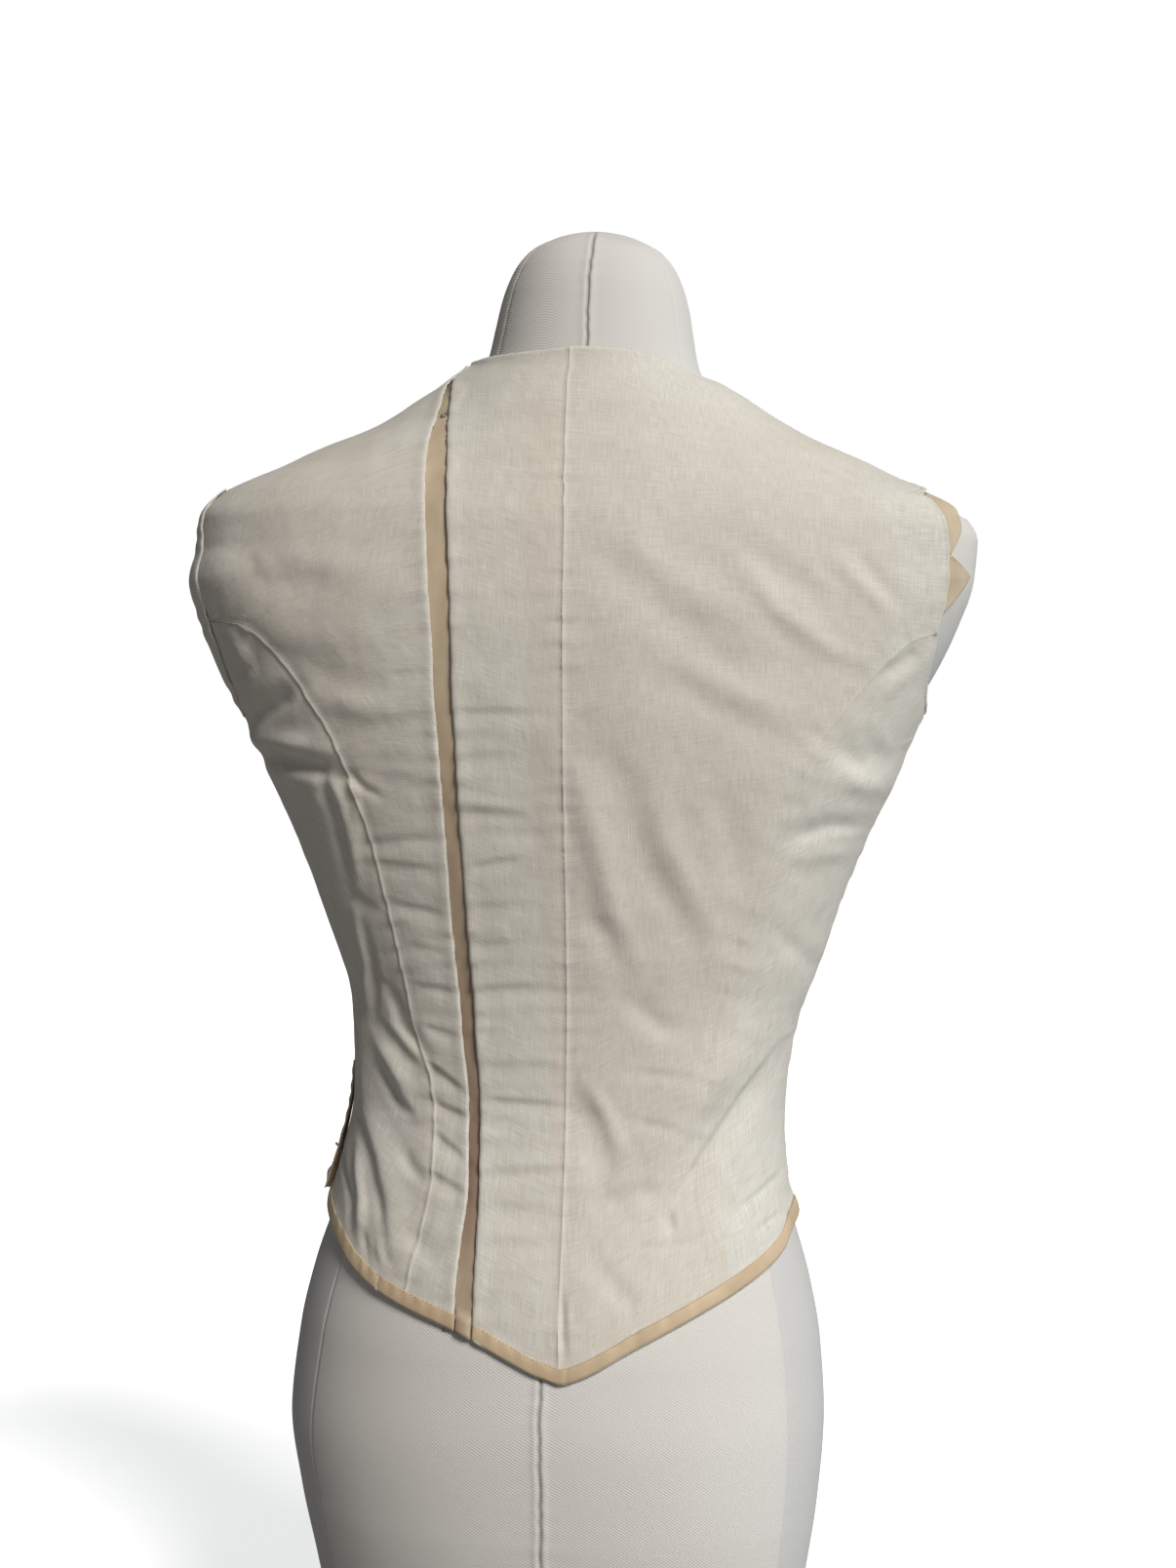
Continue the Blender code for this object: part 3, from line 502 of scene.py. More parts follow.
UPRIGHT_SEAMS = {
    "left_side": -90.0, "right_side": 90.0, "centre_front_right": 180.0, "centre_front_left": -180.0,
}

# The length of each seam that shows
Span = namedtuple("Span", "seam low high")
SPANS = {
    "left_princess": Span("back_left_edge", 0.235, 0.6285),
    "right_princess": Span("back_right_edge", 0.235, 0.6285),
    "centre": Span("centre", 0.205, 0.785),
    "slot_left": Span("slot_left", 0.225, 0.778),
    "slot_right": Span("slot_right", 0.225, 0.778),
    "left_side": Span("left_side", 0.285, 0.565),
    "right_side": Span("right_side", 0.285, 0.590),
    "front_left_princess": Span("front_left_edge", 0.240, 0.6285),
    "front_right_princess": Span("front_right_edge", 0.240, 0.6285),
}

# Heights of the hem, the neckline and the lower armholes round the form
Edge = namedtuple("Edge", "angle height")
HEM = tuple(Edge(*row) for row in (
    (-180.0, 0.2360), (-150.0, 0.2500), (-120.0, 0.2720), (-90.0, 0.2880),
    (-75.0, 0.2815), (-60.0, 0.2700), (-50.0, 0.2590), (-37.0, 0.2475),
    (-15.0, 0.2315), (-6.0, 0.2205), (0.0, 0.2125), (3.0, 0.2098),
    (6.0, 0.2125), (17.0, 0.2285), (34.5, 0.2480), (49.0, 0.2610),
    (65.0, 0.2740), (77.0, 0.2850), (90.0, 0.2880), (120.0, 0.2720),
    (150.0, 0.2500), (180.0, 0.2360),
))
NECKLINE = tuple(Edge(*row) for row in (
    (-180.0, 0.7020), (-150.0, 0.7090), (-120.0, 0.7350), (-105.0, 0.7520),
    (-90.0, 0.7640), (-75.0, 0.7715), (-54.0, 0.7770), (-25.0, 0.7796),
    (0.0, 0.7826), (18.0, 0.7824), (39.0, 0.7785), (54.0, 0.7730),
    (70.0, 0.7680), (90.0, 0.7640), (105.0, 0.7520), (120.0, 0.7350),
    (150.0, 0.7090), (180.0, 0.7020),
))
ARMHOLES = tuple(Edge(*row) for row in (
    (-101.0, 0.6290), (-99.0, 0.5900), (-95.0, 0.5700), (-90.0, 0.5640),
    (-86.0, 0.5680), (-83.0, 0.5820), (-81.5, 0.6020), (-80.0, 0.6290),
    (68.0, 0.6290), (71.5, 0.6130), (75.0, 0.6010), (80.0, 0.5930),
    (85.0, 0.5895), (90.0, 0.5880), (95.0, 0.5895), (100.0, 0.5930),
    (106.0, 0.6050), (112.0, 0.6290),
))

# Creases in millimetres.  Rise is the height of the crest or, below zero, the depth of the trough,
# a path runs through places given across and up, and soft widens the slope on its right-hand side.
Crease = namedtuple("Crease", "width rise path soft", defaults=(1.0,))
BACK_CREASES = tuple(Crease(*row) for row in (
    # Left shoulder and left back
    (26, -2.2, ((-177, 650), (-155, 644), (-131, 639))),
    (11, -0.8, ((-186, 661), (-177, 649), (-168, 636)), 1.8),
    (22, 0.7, ((-200, 665), (-201, 650), (-205, 640))),
    (26, 1.3, ((-175, 621), (-147, 614), (-118, 614))),
    (20, -1.0, ((-152, 600), (-124, 588), (-91, 584))),
    (18, 1.0, ((-135, 580), (-107, 573), (-85, 574))),
    (18, -0.6, ((-137, 574), (-120, 564), (-101, 560)), 1.5),
    # Left side back
    (9, 2.4, ((-191, 617), (-182, 606), (-176, 594))),
    (7, -2.0, ((-186, 598), (-175, 600))),
    (17, -4.5, ((-184, 572), (-166, 576), (-151, 586))),
    (10, -4.8, ((-122, 536), (-129, 539), (-142, 542), (-156, 546), (-175, 554)), 1.8),
    (14, 3.3, ((-180, 561), (-155, 556), (-138, 552))),
    (7, 0.8, ((-124, 545), (-113, 527), (-114, 510), (-110, 491))),
    (6, -1.3, ((-120, 539), (-109, 530), (-99, 525))),
    (9, -2.4, ((-135, 540), (-126, 519), (-121, 496), (-118, 477))),
    (8, 1.8, ((-131, 542), (-121, 520), (-115, 498), (-111, 475))),
    (7, -1.8, ((-111, 454), (-105, 427), (-105, 394))),
    (7, 1.7, ((-115, 463), (-110, 432), (-110, 399))),
    (8, -2.2, ((-74, 380), (-88, 396), (-96, 418)), 1.6),
    (8, 2.2, ((-83, 354), (-87, 363), (-96, 375), (-104, 386)), 1.8),
    (7, -2.1, ((-88, 348), (-94, 359), (-102, 370))),
    (8, 2.3, ((-86, 270), (-91, 298), (-97, 318), (-108, 342), (-112, 367), (-117, 386)), 2.8),
    (6, -0.7, ((-92, 276), (-97, 296), (-103, 316), (-113, 338))),
    (7, 2.2, ((-107, 272), (-107, 294), (-112, 324))),
    (5, -1.5, ((-113, 268), (-114, 292), (-124, 316))),
    (6, 1.6, ((-119, 266), (-123, 280), (-131, 292))),
    (5, 1.6, ((-92, 254), (-95, 274))),
    (5, -2.0, ((-100, 254), (-105, 278))),
    (5, -1.8, ((-91, 248), (-95, 266))),
    (8, -1.5, ((-70, 308), (-79, 315), (-85, 325)), 1.4),
    (14, -1.5, ((-58, 266), (-71, 275), (-79, 282)), 1.4),
    # Right back, upper
    (30, -1.2, ((6, 665), (29, 649), (57, 630), (80, 616))),
    (26, 1.1, ((17, 681), (42, 658), (68, 639), (96, 625))),
    (20, -1.3, ((97, 668), (120, 650), (147, 631))),
    (14, 1.2, ((92, 657), (114, 632), (140, 615), (163, 608))),
    (26, -0.8, ((44, 594), (89, 576), (126, 560))),
    (20, 1.0, ((48, 610), (81, 593), (115, 576))),
    (16, 1.0, ((138, 670), (158, 652), (175, 636))),
    (14, -1.0, ((151, 668), (168, 651), (180, 640))),
    # Right back, middle
    (28, -1.8, ((10, 565), (24, 548), (36, 528), (42, 500), (52, 479), (68, 460))),
    (18, 1.5, ((7, 538), (19, 502), (29, 466), (43, 440))),
    (20, 1.3, ((50, 523), (59, 496), (73, 471), (85, 441))),
    (22, -1.0, ((82, 540), (91, 509), (94, 474))),
    (15, -0.9, ((12, 468), (25, 451), (35, 428)), 1.4),
    (16, -1.0, ((35, 420), (54, 402), (70, 398))),
    # Right back, waist and hem
    (22, -1.7, ((7, 365), (17, 348), (25, 328), (26, 308))),
    (12, 1.2, ((16, 370), (29, 349), (38, 326))),
    (8, -3.0, ((62, 296), (74, 317), (84, 334), (98, 357), (109, 376), (118, 391)), 3.0),
    (32, 5.2, ((44, 316), (58, 336), (70, 354), (84, 376), (96, 398))),
    (6, -1.4, ((64, 299), (66, 289)), 1.6),
    (12, -1.6, ((28, 302), (44, 310), (60, 310)), 1.6),
    (7, -0.7, ((44, 376), (74, 373)), 1.6),
    (7, -0.7, ((43, 349), (63, 344)), 1.6),
    (5, -0.8, ((51, 280), (74, 283), (87, 288)), 1.4),
    (16, -1.2, ((20, 275), (42, 256), (50, 246))),
    (5, -1.5, ((12, 223), (10, 243), (9, 257))),
    # Right side back
    (17, -2.6, ((175, 566), (157, 556), (140, 563)), 1.8),
    (16, 1.5, ((145, 545), (158, 544), (168, 546))),
    (9, -2.0, ((155, 522), (137, 518), (118, 509)), 1.8),
    (14, 1.3, ((117, 498), (136, 504), (148, 507))),
    (8, -1.3, ((171, 602), (193, 619))),
    (9, 0.9, ((167, 590), (190, 606))),
    (14, -1.2, ((114, 456), (125, 442), (129, 432))),
    (5, -1.1, ((97, 296), (109, 305), (123, 316)), 1.5),
    (5, -0.9, ((108, 286), (125, 294)), 1.5),
    (8, -1.0, ((94, 331), (101, 312), (106, 293))),
))
FRONT_CREASES = tuple(Crease(*row) for row in (
    (20, 2.0, ((-152, 562), (-125, 515), (-100, 468))),
    (18, -1.6, ((-136, 560), (-108, 516), (-86, 474))),
    (20, 2.0, ((150, 558), (128, 514), (102, 470))),
    (18, -1.8, ((133, 566), (112, 518), (84, 480))),
    (14, 1.6, ((-106, 372), (-92, 336), (-76, 298))),
    (12, -1.4, ((-92, 380), (-78, 342), (-66, 306))),
    (14, 1.6, ((104, 368), (88, 330), (76, 300))),
    (12, -1.4, ((90, 376), (76, 340), (62, 310))),
    (16, -1.2, ((-60, 420), (-20, 412), (18, 418)), 1.4),
    (14, -1.2, ((-34, 384), (10, 378), (52, 386)), 1.4),
    (14, -1.0, ((-58, 352), (-18, 346), (26, 350)), 1.4),
    (20, -1.2, ((-120, 640), (-92, 610), (-70, 572))),
    (20, -1.2, ((118, 644), (88, 612), (66, 570))),
))

# Strain wrinkles across the back beside the slot, in millimetres
Strain = namedtuple("Strain", "left left_height right right_height width rise")
STRAINS = tuple(Strain(*row) for row in (
    (-100, 592, -74, 594, 5, -0.7), (-106, 567, -73, 570, 6, -0.5),
    (-128, 544, -73, 549, 6, -0.4), (-126, 540, -71, 534, 6, -0.6),
    (-116, 499, -66, 504, 5, -1.1), (-110, 489, -65, 485, 5, -0.9),
    (-62, 572, -13, 573, 5, -0.8), (-60, 549, -29, 549, 6, -0.5),
    (-59, 526, -22, 521, 4, 0.7), (-58, 519, -14, 516, 6, -0.8),
    (-55, 508, -1, 506, 6, -0.7), (-95, 466, -63, 460, 5, -1.1),
    (-92, 444, -60, 438, 5, -0.6), (-84, 420, -57, 418, 4, -1.0),
    (-77, 396, -54, 392, 4, -1.2), (-74, 376, -51, 361, 5, -1.7),
    (-70, 354, -48, 346, 5, -1.4), (-68, 336, -47, 322, 5, -1.6),
    (-69, 314, -46, 304, 5, -1.6), (-106, 400, -74, 369, 6, -1.5),
    (-94, 360, -79, 342, 6, -1.3), (-112, 432, -93, 413, 6, -1.0),
    (-121, 475, -99, 460, 5, -1.0), (-53, 487, -20, 494, 4, -0.8),
    (-50, 444, -22, 446, 5, -0.7), (-46, 394, -35, 396, 4, -0.8),
    (-42, 375, 4, 378, 7, -0.8), (-41, 357, 5, 356, 5, -1.4),
    (-41, 343, -20, 348, 5, -0.7), (-39, 316, 5, 320, 5, -1.4),
    (-40, 298, 4, 298, 8, -1.0), (-39, 279, 0, 280, 8, -0.8),
    (-39, 252, -10, 252, 7, -0.6), (-51, 464, -14, 468, 6, -0.5),
    (-48, 419, -7, 422, 6, -0.9),
))


@lru_cache(maxsize=None)
def table_curve(rows, column):
    """The keys, values and slopes of one column, for a smooth curve without overshoot."""
    keys = np.array([row[0] for row in rows])
    values = np.array([getattr(row, column) for row in rows])
    slopes = np.diff(values) / np.diff(keys)
    before = np.concatenate((slopes[:1], slopes))
    after = np.concatenate((slopes, slopes[-1:]))
    same_way = before * after > 0.0
    total = np.where(same_way, before + after, 1.0)
    return keys, values, np.where(same_way, 2.0 * before * after / total, 0.0)


def between(rows, column, place):
    """Read one column of a table at any places."""
    keys, values, tangents = table_curve(rows, column)
    place = np.clip(place, keys[0], keys[-1])
    index = np.clip(np.searchsorted(keys, place) - 1, 0, len(keys) - 2)
    span = keys[index + 1] - keys[index]
    t = (place - keys[index]) / span
    leave = tangents[index] * span * (t ** 3 - 2 * t * t + t)
    arrive = tangents[index + 1] * span * (t ** 3 - t * t)
    start = values[index] * (2 * t ** 3 - 3 * t * t + 1) + leave
    end = values[index + 1] * (3 * t * t - 2 * t ** 3) + arrive
    return start + end


def mix(first, second, share):
    """Blend two values."""
    return first + (second - first) * share


def soft_step(value, low, high):
    """0 below low, 1 above high, and a smooth rise between them."""
    t = np.clip((value - low) / (high - low), 0.0, 1.0)
    return t * t * (3.0 - 2.0 * t)


def form_point(angle, height):
    """Points on the dress form."""
    angle, height = np.broadcast_arrays(np.asarray(angle, float), np.asarray(height, float))
    row = {name: between(FORM_SECTIONS, name, height) for name in Section._fields[1:]}
    across = np.sin(np.radians(angle))
    along = np.cos(np.radians(angle))
    depth = np.where(along > 0.0, row["back"], row["front"])
    power = 2.0 / row["power"]
    x = row["shift"] + row["half_width"] * np.sign(across) * np.abs(across) ** power
    y = row["middle"] - depth * np.sign(along) * np.abs(along) ** power
    return np.stack((x, y, height), axis=-1)


def form_normal(angle, height):
    """The outward directions of the dress form."""
    turn = 1.0
    climb = 0.002
    round_it = form_point(angle + turn, height) - form_point(angle - turn, height)
    up_it = form_point(angle, height + climb) - form_point(angle, height - climb)
    normal = np.cross(round_it, up_it)
    return normal / np.linalg.norm(normal, axis=-1, keepdims=True)


def arc(angle, height):
    """Metres of the form's girth per degree."""
    return np.linalg.norm(form_point(angle + 0.5, height) - form_point(angle - 0.5, height), axis=-1)


def path_rise(x, z, path, width, rise, soft):
    """The rise of one crease that follows a path, in metres."""
    points = np.array(path, float) * MM
    lengths = np.hypot(*np.diff(points, axis=0).T)
    starts = np.concatenate(([0.0], np.cumsum(lengths)))
    nearest = np.full(x.shape, 1e9)
    right_hand = np.zeros(x.shape, bool)
    place = np.zeros(x.shape)
    for (ax, az), (bx, bz), length, start in zip(points, points[1:], lengths, starts):
        run, climb = bx - ax, bz - az
        t = np.clip(((x - ax) * run + (z - az) * climb) / length ** 2, 0.0, 1.0)
        dx = x - ax - run * t
        dz = z - az - climb * t
        away = np.hypot(dx, dz)
        nearer = away < nearest
        nearest = np.where(nearer, away, nearest)
        right_hand = np.where(nearer, dx * climb - dz * run > 0.0, right_hand)
        place = np.where(nearer, (start + t * length) / starts[-1], place)
    spread = width * MM / 2.0 * np.where(right_hand, soft, 1.0)
    fade = mix(END_KEEP, 1.0, soft_step(np.minimum(place, 1.0 - place), 0.0, END_FADE))
    square = (nearest / spread) ** 2
    return rise * MM * fade * (1.0 - SHOULDERS * square) * np.exp(-square)


def crease_rise(points, angle):
    """The rise of all creases and strain wrinkles at points of the form."""
    x = points[..., 0]
    z = points[..., 2]
    on_back = soft_step(BACK_END - np.abs(angle), 0.0, BACK_BLEND)
    off_hem = soft_step(z - between(HEM, "height", angle), HEM_FADE_START, HEM_FADE_END)
    total = np.zeros(x.shape)
    for face, creases in ((on_back, BACK_CREASES), (1.0 - on_back, FRONT_CREASES)):
        for crease in creases:
            total += face * path_rise(x, z, crease.path, crease.width, crease.rise, crease.soft)
    for wrinkle in STRAINS:
        path = ((wrinkle.left, wrinkle.left_height), (wrinkle.right, wrinkle.right_height))
        total += on_back * path_rise(x, z, path, wrinkle.width, wrinkle.rise * STRAIN_GAIN, STRAIN_SOFT)
    return total * mix(HEM_KEEP, 1.0, off_hem)


def clear_of_form(stand):
    """Keep the cloth's outer face off the form, with a soft turn where a trough meets it."""
    above = stand - LEAST_STAND
    return LEAST_STAND + (above + np.sqrt(above ** 2 + STAND_BLEND ** 2)) / 2.0


def ease(angle, height):
    """How far the plain cloth's inside stands off the form."""
    across = np.sin(np.radians(angle))
    along = np.cos(np.radians(angle))
    left, right, back, front = (between(CLOTH_EASE, column, height) for column in Ease._fields[1:])
    side = np.where(across > 0.0, right, left)
    face = np.where(along > 0.0, back, front)
    above_hem = height - between(HEM, "height", angle)
    hug = HEM_HUG * np.abs(along) * (1.0 - soft_step(above_hem, 0.0, HUG_HEIGHT))
    return np.maximum(side * across ** 2 + face * along ** 2, LEAST_EASE) - hug


def off_form(angle, height, stand):
    """Points that stand off the form."""
    return form_point(angle, height) + form_normal(angle, height) * stand[..., None]


def plain_point(angle, height, lift=WALL):
    """A point of the cloth without its creases, lifted off its inner face."""
    return off_form(angle, height, ease(angle, height) + lift)


def creased_stand(angle, height):
    """How far the creased cloth's outer face stands off the form."""
    rise = crease_rise(form_point(angle, height), angle)
    return clear_of_form(ease(angle, height) + rise + WALL)


def angle_of(seam, height):
    """The angles of a seam or an edge at some heights."""
    height = np.asarray(height, float)
    if seam in UPRIGHT_SEAMS:
        return np.full(height.shape, UPRIGHT_SEAMS[seam])
    curve = SEAM_CURVES[seam]
    share = np.clip((height - curve.low) / (curve.high - curve.low), 0.0, 1.0) ** curve.rounding
    return mix(between(curve.rows, curve.column, height), curve.shoulder, share)


def edge_angle(seam, edge):
    """The angle where a seam meets the hem, the neckline or an armhole."""
    angle = float(angle_of(seam, edge[len(edge) // 2].height))
    for _ in range(EDGE_TURNS):
        angle = float(angle_of(seam, between(edge, "height", angle)))
    return angle


def meeting_height(seam, edge):
    """The height where a seam meets an edge."""
    return between(edge, "height", edge_angle(seam, edge))


def band_lines(hem_height, top_height, side):
    """The heights that part a panel's bands, from the hem to the top."""
    lines = [hem_height, hem_height + BINDING_WIDTH, WAIST_LINE, CHEST_LINE]
    if not side:
        lines += [ARMHOLE_LINE, CAP_LINE, SHOULDER_LINE]
    return lines + [top_height]


def row_levels(side, step):
    """Each row as its band and its share of the band's height, with finer rows at the top."""
    lines = band_lines(HEM_LEVEL, ARMHOLE_LINE if side else NECK_LEVEL, side)
    levels = [(0, 0.0)]
    for band, (low, high) in enumerate(zip(lines, lines[1:])):
        count = int(np.ceil((high - low) / step))
        shares = np.linspace(0.0, 1.0, count + 1)[1:]
        if band == ARMHOLE_BAND:
            shares = 1.0 - (1.0 - shares) ** ARMHOLE_BUNCHING
        if band == len(lines) - 2 and not side:
            fine = 1.0 - np.array(EDGE_STEPS) / (high - low)
            shares = np.union1d(shares[shares < fine[-1]], fine)
        levels += [(band, share) for share in shares]
    return levels


def column_shares(width, step):
    """Shares across a panel, with finer columns beside both edges."""
    near = np.array(EDGE_STEPS)
    middle = np.linspace(near[-1], width - near[-1], max(2, int((width - 2 * near[-1]) / step)))
    places = np.concatenate((near[:-1], middle, width - near[-2::-1]))
    return places / width


def panel_places(panel):
    """The angles and heights of a panel's grid, rows by columns."""
    shares = column_shares(panel.width, panel.step)
    bands, parts = (np.array(column) for column in zip(*row_levels(panel.side, panel.step)))
    rims = (HEM, ARMHOLES if panel.side else NECKLINE)

    def heights(hem, high):
        lines = np.stack([np.broadcast_to(line, np.shape(hem)) for line in band_lines(hem, high, panel.side)])
        return mix(lines[bands], lines[bands + 1], parts.reshape((-1,) + (1,) * np.ndim(hem)))

    turns = [mix(edge_angle(panel.start, rim), edge_angle(panel.end, rim), shares) for rim in rims]
    height = heights(*(between(rim, "height", turn) for rim, turn in zip(rims, turns)))
    start, end = (angle_of(seam, heights(*(meeting_height(seam, rim) for rim in rims)))
                  for seam in (panel.start, panel.end))
    angle = mix(start[:, None], end[:, None], shares)
    inset = SEAM_GAP / 2.0 / arc(angle, height)
    angle[:, 0] += inset[:, 0]
    angle[:, -1] -= inset[:, -1]
    return angle, height


def seam_line(seam, low, high, count=500):
    """Points along a seam between two heights."""
    heights = np.linspace(low, high, count)
    return plain_point(angle_of(seam, heights), heights)


def edge_line(edge, low, high, count=700):
    """Points along the hem, the neckline or an armhole between two angles."""
    angles = np.linspace(low, high, count)
    return plain_point(angles, between(edge, "height", angles))


def armhole_line(back, front, top, back_angle, front_angle):
    """Points round an armhole, from its top down the back and up the front."""
    return np.concatenate((
        seam_line(back, ARMHOLE_LINE, top, 120)[::-1], edge_line(ARMHOLES, back_angle, front_angle, 240),
        seam_line(front, ARMHOLE_LINE, top, 120)))


def away_from(points, line):
    """Each point's distance from a line and the place along it of the nearest point."""
    steps = np.linalg.norm(np.diff(line, axis=0), axis=1)
    places = np.concatenate(([0.0], np.cumsum(steps)))
    flat = points.reshape(-1, 3)
    nearest = np.empty(len(flat), int)
    distance = np.empty(len(flat))
    for start in range(0, len(flat), NEAREST_BATCH):
        part = slice(start, start + NEAREST_BATCH)
        squares = ((flat[part, None, :] - line[None, :, :]) ** 2).sum(axis=2)
        nearest[part] = squares.argmin(axis=1)
        distance[part] = np.sqrt(squares.min(axis=1))
    shape = points.shape[:-1]
    return distance.reshape(shape), places[nearest].reshape(shape)


def puckers(distance, along, spacing, size, reach):
    """Small uneven gathers that a line of sewing draws up beside it."""
    turn = 2 * pi * along / spacing + GATHER_STRAY * np.sin(along * GATHER_STRAY_RATE)
    wave = np.sin(turn + GATHER_LEAN * np.sin(turn))
    uneven = 1.0 - GATHER_UNEVEN + GATHER_UNEVEN * np.sin(along * GATHER_UNEVEN_RATE + 1.0)
    return size * uneven * wave * np.exp(-distance / reach)


def wavering(along, waver):
    """A wave along a line that strays from its rate."""
    return waver.size * np.sin(along * waver.rate + waver.stray * np.sin(along * waver.stray_rate))


def ridges(distance, shapes):
    """The rise of ridges and troughs that run beside a line."""
    return sum(shape.rise * np.exp(-((distance - shape.place) / shape.width) ** 2) for shape in shapes)


def crumple(points, scale, size):
    """A faint unevenness of the cloth."""
    flat = points.reshape(-1, 3) * scale
    values = [noise.noise(Vector(point)) for point in flat]
    return size * np.array(values).reshape(points.shape[:-1])


def lines_of_garment():
    """Every seam and free edge that marks the panels."""
    lines = {name: seam_line(*span) for name, span in SPANS.items()}
    lines["left_armhole"] = armhole_line("back_left_edge", "front_left_edge", CAP_LINE, *LEFT_ARMHOLE)
    lines["right_armhole"] = armhole_line("back_right_edge", "front_right_edge", SHOULDER_LINE,
                                          *RIGHT_ARMHOLE)
    lines["neckline"] = edge_line(NECKLINE, -180.0, 180.0)
    return lines


def seam_relief(name, seam, distance, along):
    """The rise beside a sewn seam: one edge laps over the other, with small gathers on both."""
    lap = LAPS[seam]
    shapes = UPPER_LAP if name == lap.upper else UNDER_LAP
    return lap.height * ridges(distance, shapes) + puckers(distance, along, *lap.gathers)


def edge_relief(edge, distance, along):
    """The rise beside a turned free edge: it rounds off, with a faint line of sewing inside it."""
    if edge == "neckline":
        return ridges(distance, NECK_EDGE)
    if edge.startswith("slot"):
        return ridges(distance, SLOT_EDGE) + puckers(distance, along, *SLOT_GATHERS)
    return ridges(distance, ARMHOLE_EDGE) + puckers(distance, along, *ARMHOLE_GATHERS)


def backing_and_highlight(name, distances, height):
    """The tone that the layers behind the cloth give it, with a painted highlight along some seams and the
    neckline.
    """
    tone = np.full(height.shape, SIDE_TONE if name.endswith("side") else SINGLE_TONE)
    for line, distance in distances.items():
        behind = FACINGS.get(line, ALLOWANCE)
        if line == "centre" and name != "back_centre":
            behind = ALLOWANCE
        cover = 1.0 - soft_step(distance, behind.depth - BACKING_BLUR, behind.depth + BACKING_BLUR)
        tone = mix(tone, behind.tone, cover)
    # Painted highlight: a pale line where a raised seam edge or the neckline catches the light
    for line, top in HIGHLIT_EDGES.items():
        if line in distances:
            share = HIGHLIGHT_SHARE * (1.0 - soft_step(height, top - HIGHLIGHT_FADE, top))
            tone = mix(tone, 1.0, share * np.exp(-(distances[line] / HIGHLIGHT_WIDTH) ** 2))
    return tone


def mesh_from(name, bm):
    """Turn a bmesh into a mesh."""
    mesh = bpy.data.meshes.new(name)
    bm.to_mesh(mesh)
    bm.free()
    return mesh


def close_rims(bm):
    """Close every open rim with a face."""
    bmesh.ops.holes_fill(bm, edges=[edge for edge in bm.edges if len(edge.link_faces) == 1], sides=0)


def add_object(name, data):
    """Put a mesh, camera or lamp in the scene."""
    made = bpy.data.objects.new(name, data)
    bpy.context.scene.collection.objects.link(made)
    return made


def turned_to(direction, place):
    """A matrix that moves to a place and turns upwards to a direction."""
    return Matrix.Translation(place) @ UP.rotation_difference(direction).to_matrix().to_4x4()


def lay_grid(name, points, look, flat_uv, marks, thickness):
    """A sheet of cloth through a grid of points, with its weave laid along it."""
    rows, columns = points.shape[:2]
    bm = bmesh.new()
    bm.loops.layers.uv.new("cloth")
    bmesh.ops.create_grid(bm, x_segments=columns - 1, y_segments=rows - 1, size=1.0, calc_uvs=True)
    mesh = mesh_from(name, bm)
    places = np.empty(len(mesh.vertices) * 3)
    mesh.vertices.foreach_get("co", places)
    places = places.reshape(-1, 3)
    column = np.rint((places[:, 0] + 1.0) / 2.0 * (columns - 1)).astype(int)
    row = np.rint((places[:, 1] + 1.0) / 2.0 * (rows - 1)).astype(int)
    mesh.vertices.foreach_set("co", points[row, column].ravel())
    corners = np.empty(len(mesh.loops), int)
    mesh.loops.foreach_get("vertex_index", corners)
    mesh.uv_layers["cloth"].data.foreach_set("uv", flat_uv[row, column][corners].ravel())
    for mark, values in marks:
        layer = mesh.attributes.new(mark, "FLOAT", "POINT")
        layer.data.foreach_set("value", values[row, column].ravel())
    mesh.shade_smooth()
    mesh.update()
    mesh.materials.append(look)
    piece = add_object(name, mesh)
    if thickness:
        shell = piece.modifiers.new("thickness", "SOLIDIFY")
        shell.thickness = thickness
        shell.offset = -1.0
    return piece


def laid_flat(points):
    """Distances across and up a grid in metres, for the weave."""
    across = np.linalg.norm(np.diff(points, axis=1), axis=2)
    up = np.linalg.norm(np.diff(points, axis=0), axis=2)
    across = np.pad(np.cumsum(across, axis=1), ((0, 0), (1, 0)))
    up = np.pad(np.cumsum(up, axis=0), ((1, 0), (0, 0)))
    return np.stack((across, up), axis=-1)


def finish_piece(piece, slot, *nodes):
    """Say what a piece rides on and hide the parts that it stands for; its finish slot is not used."""
    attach(piece, BODY)
    if nodes:
        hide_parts(*nodes)


def make_cloth(name, points, look, slot, nodes, flat=None,
               marks=(), thickness=BINDING_CLOTH):
    """A sheet of cloth with its finish, the nodes that it stands for and its cut."""
    flat = laid_flat(points) if flat is None else flat
    piece = lay_grid(name, points, look, flat, marks, thickness)
    finish_piece(piece, slot, *nodes)


def make_panel(name, panel, lines, look):
    """One cut piece of the garment with its creases, seams and edges."""
    angle, height = panel_places(panel)
    base = form_point(angle, height)
    plain = plain_point(angle, height)
    rise = crease_rise(base, angle)
    distances = {}
    for seam in panel.seams:
        distances[seam], along = away_from(plain, lines[seam])
        rise += seam_relief(name, seam, distances[seam], along)
    for edge in panel.edges:
        distances[edge], along = away_from(plain, lines[edge])
        rise += edge_relief(edge, distances[edge], along)
    for scale, size in CRUMPLES:
        rise += crumple(base + scale, scale, size)
    points = off_form(angle, height, clear_of_form(ease(angle, height) + WALL + rise))
    marks = (("backing_and_highlight", backing_and_highlight(name, distances, height)),)
    make_cloth(name + "_cloth", points, look, "calico", [name], flat=laid_flat(plain), marks=marks,
               thickness=CLOTH)


def form_rows():
    """Heights of the form cover's rows: fine where it shows, wider apart under the garment."""
    heights = [np.linspace(low, high, int(round((high - low) / step)), endpoint=False)
               for low, high, step in FORM_STRETCHES]
    return np.concatenate(heights + [[FORM_STRETCHES[-1].high]])


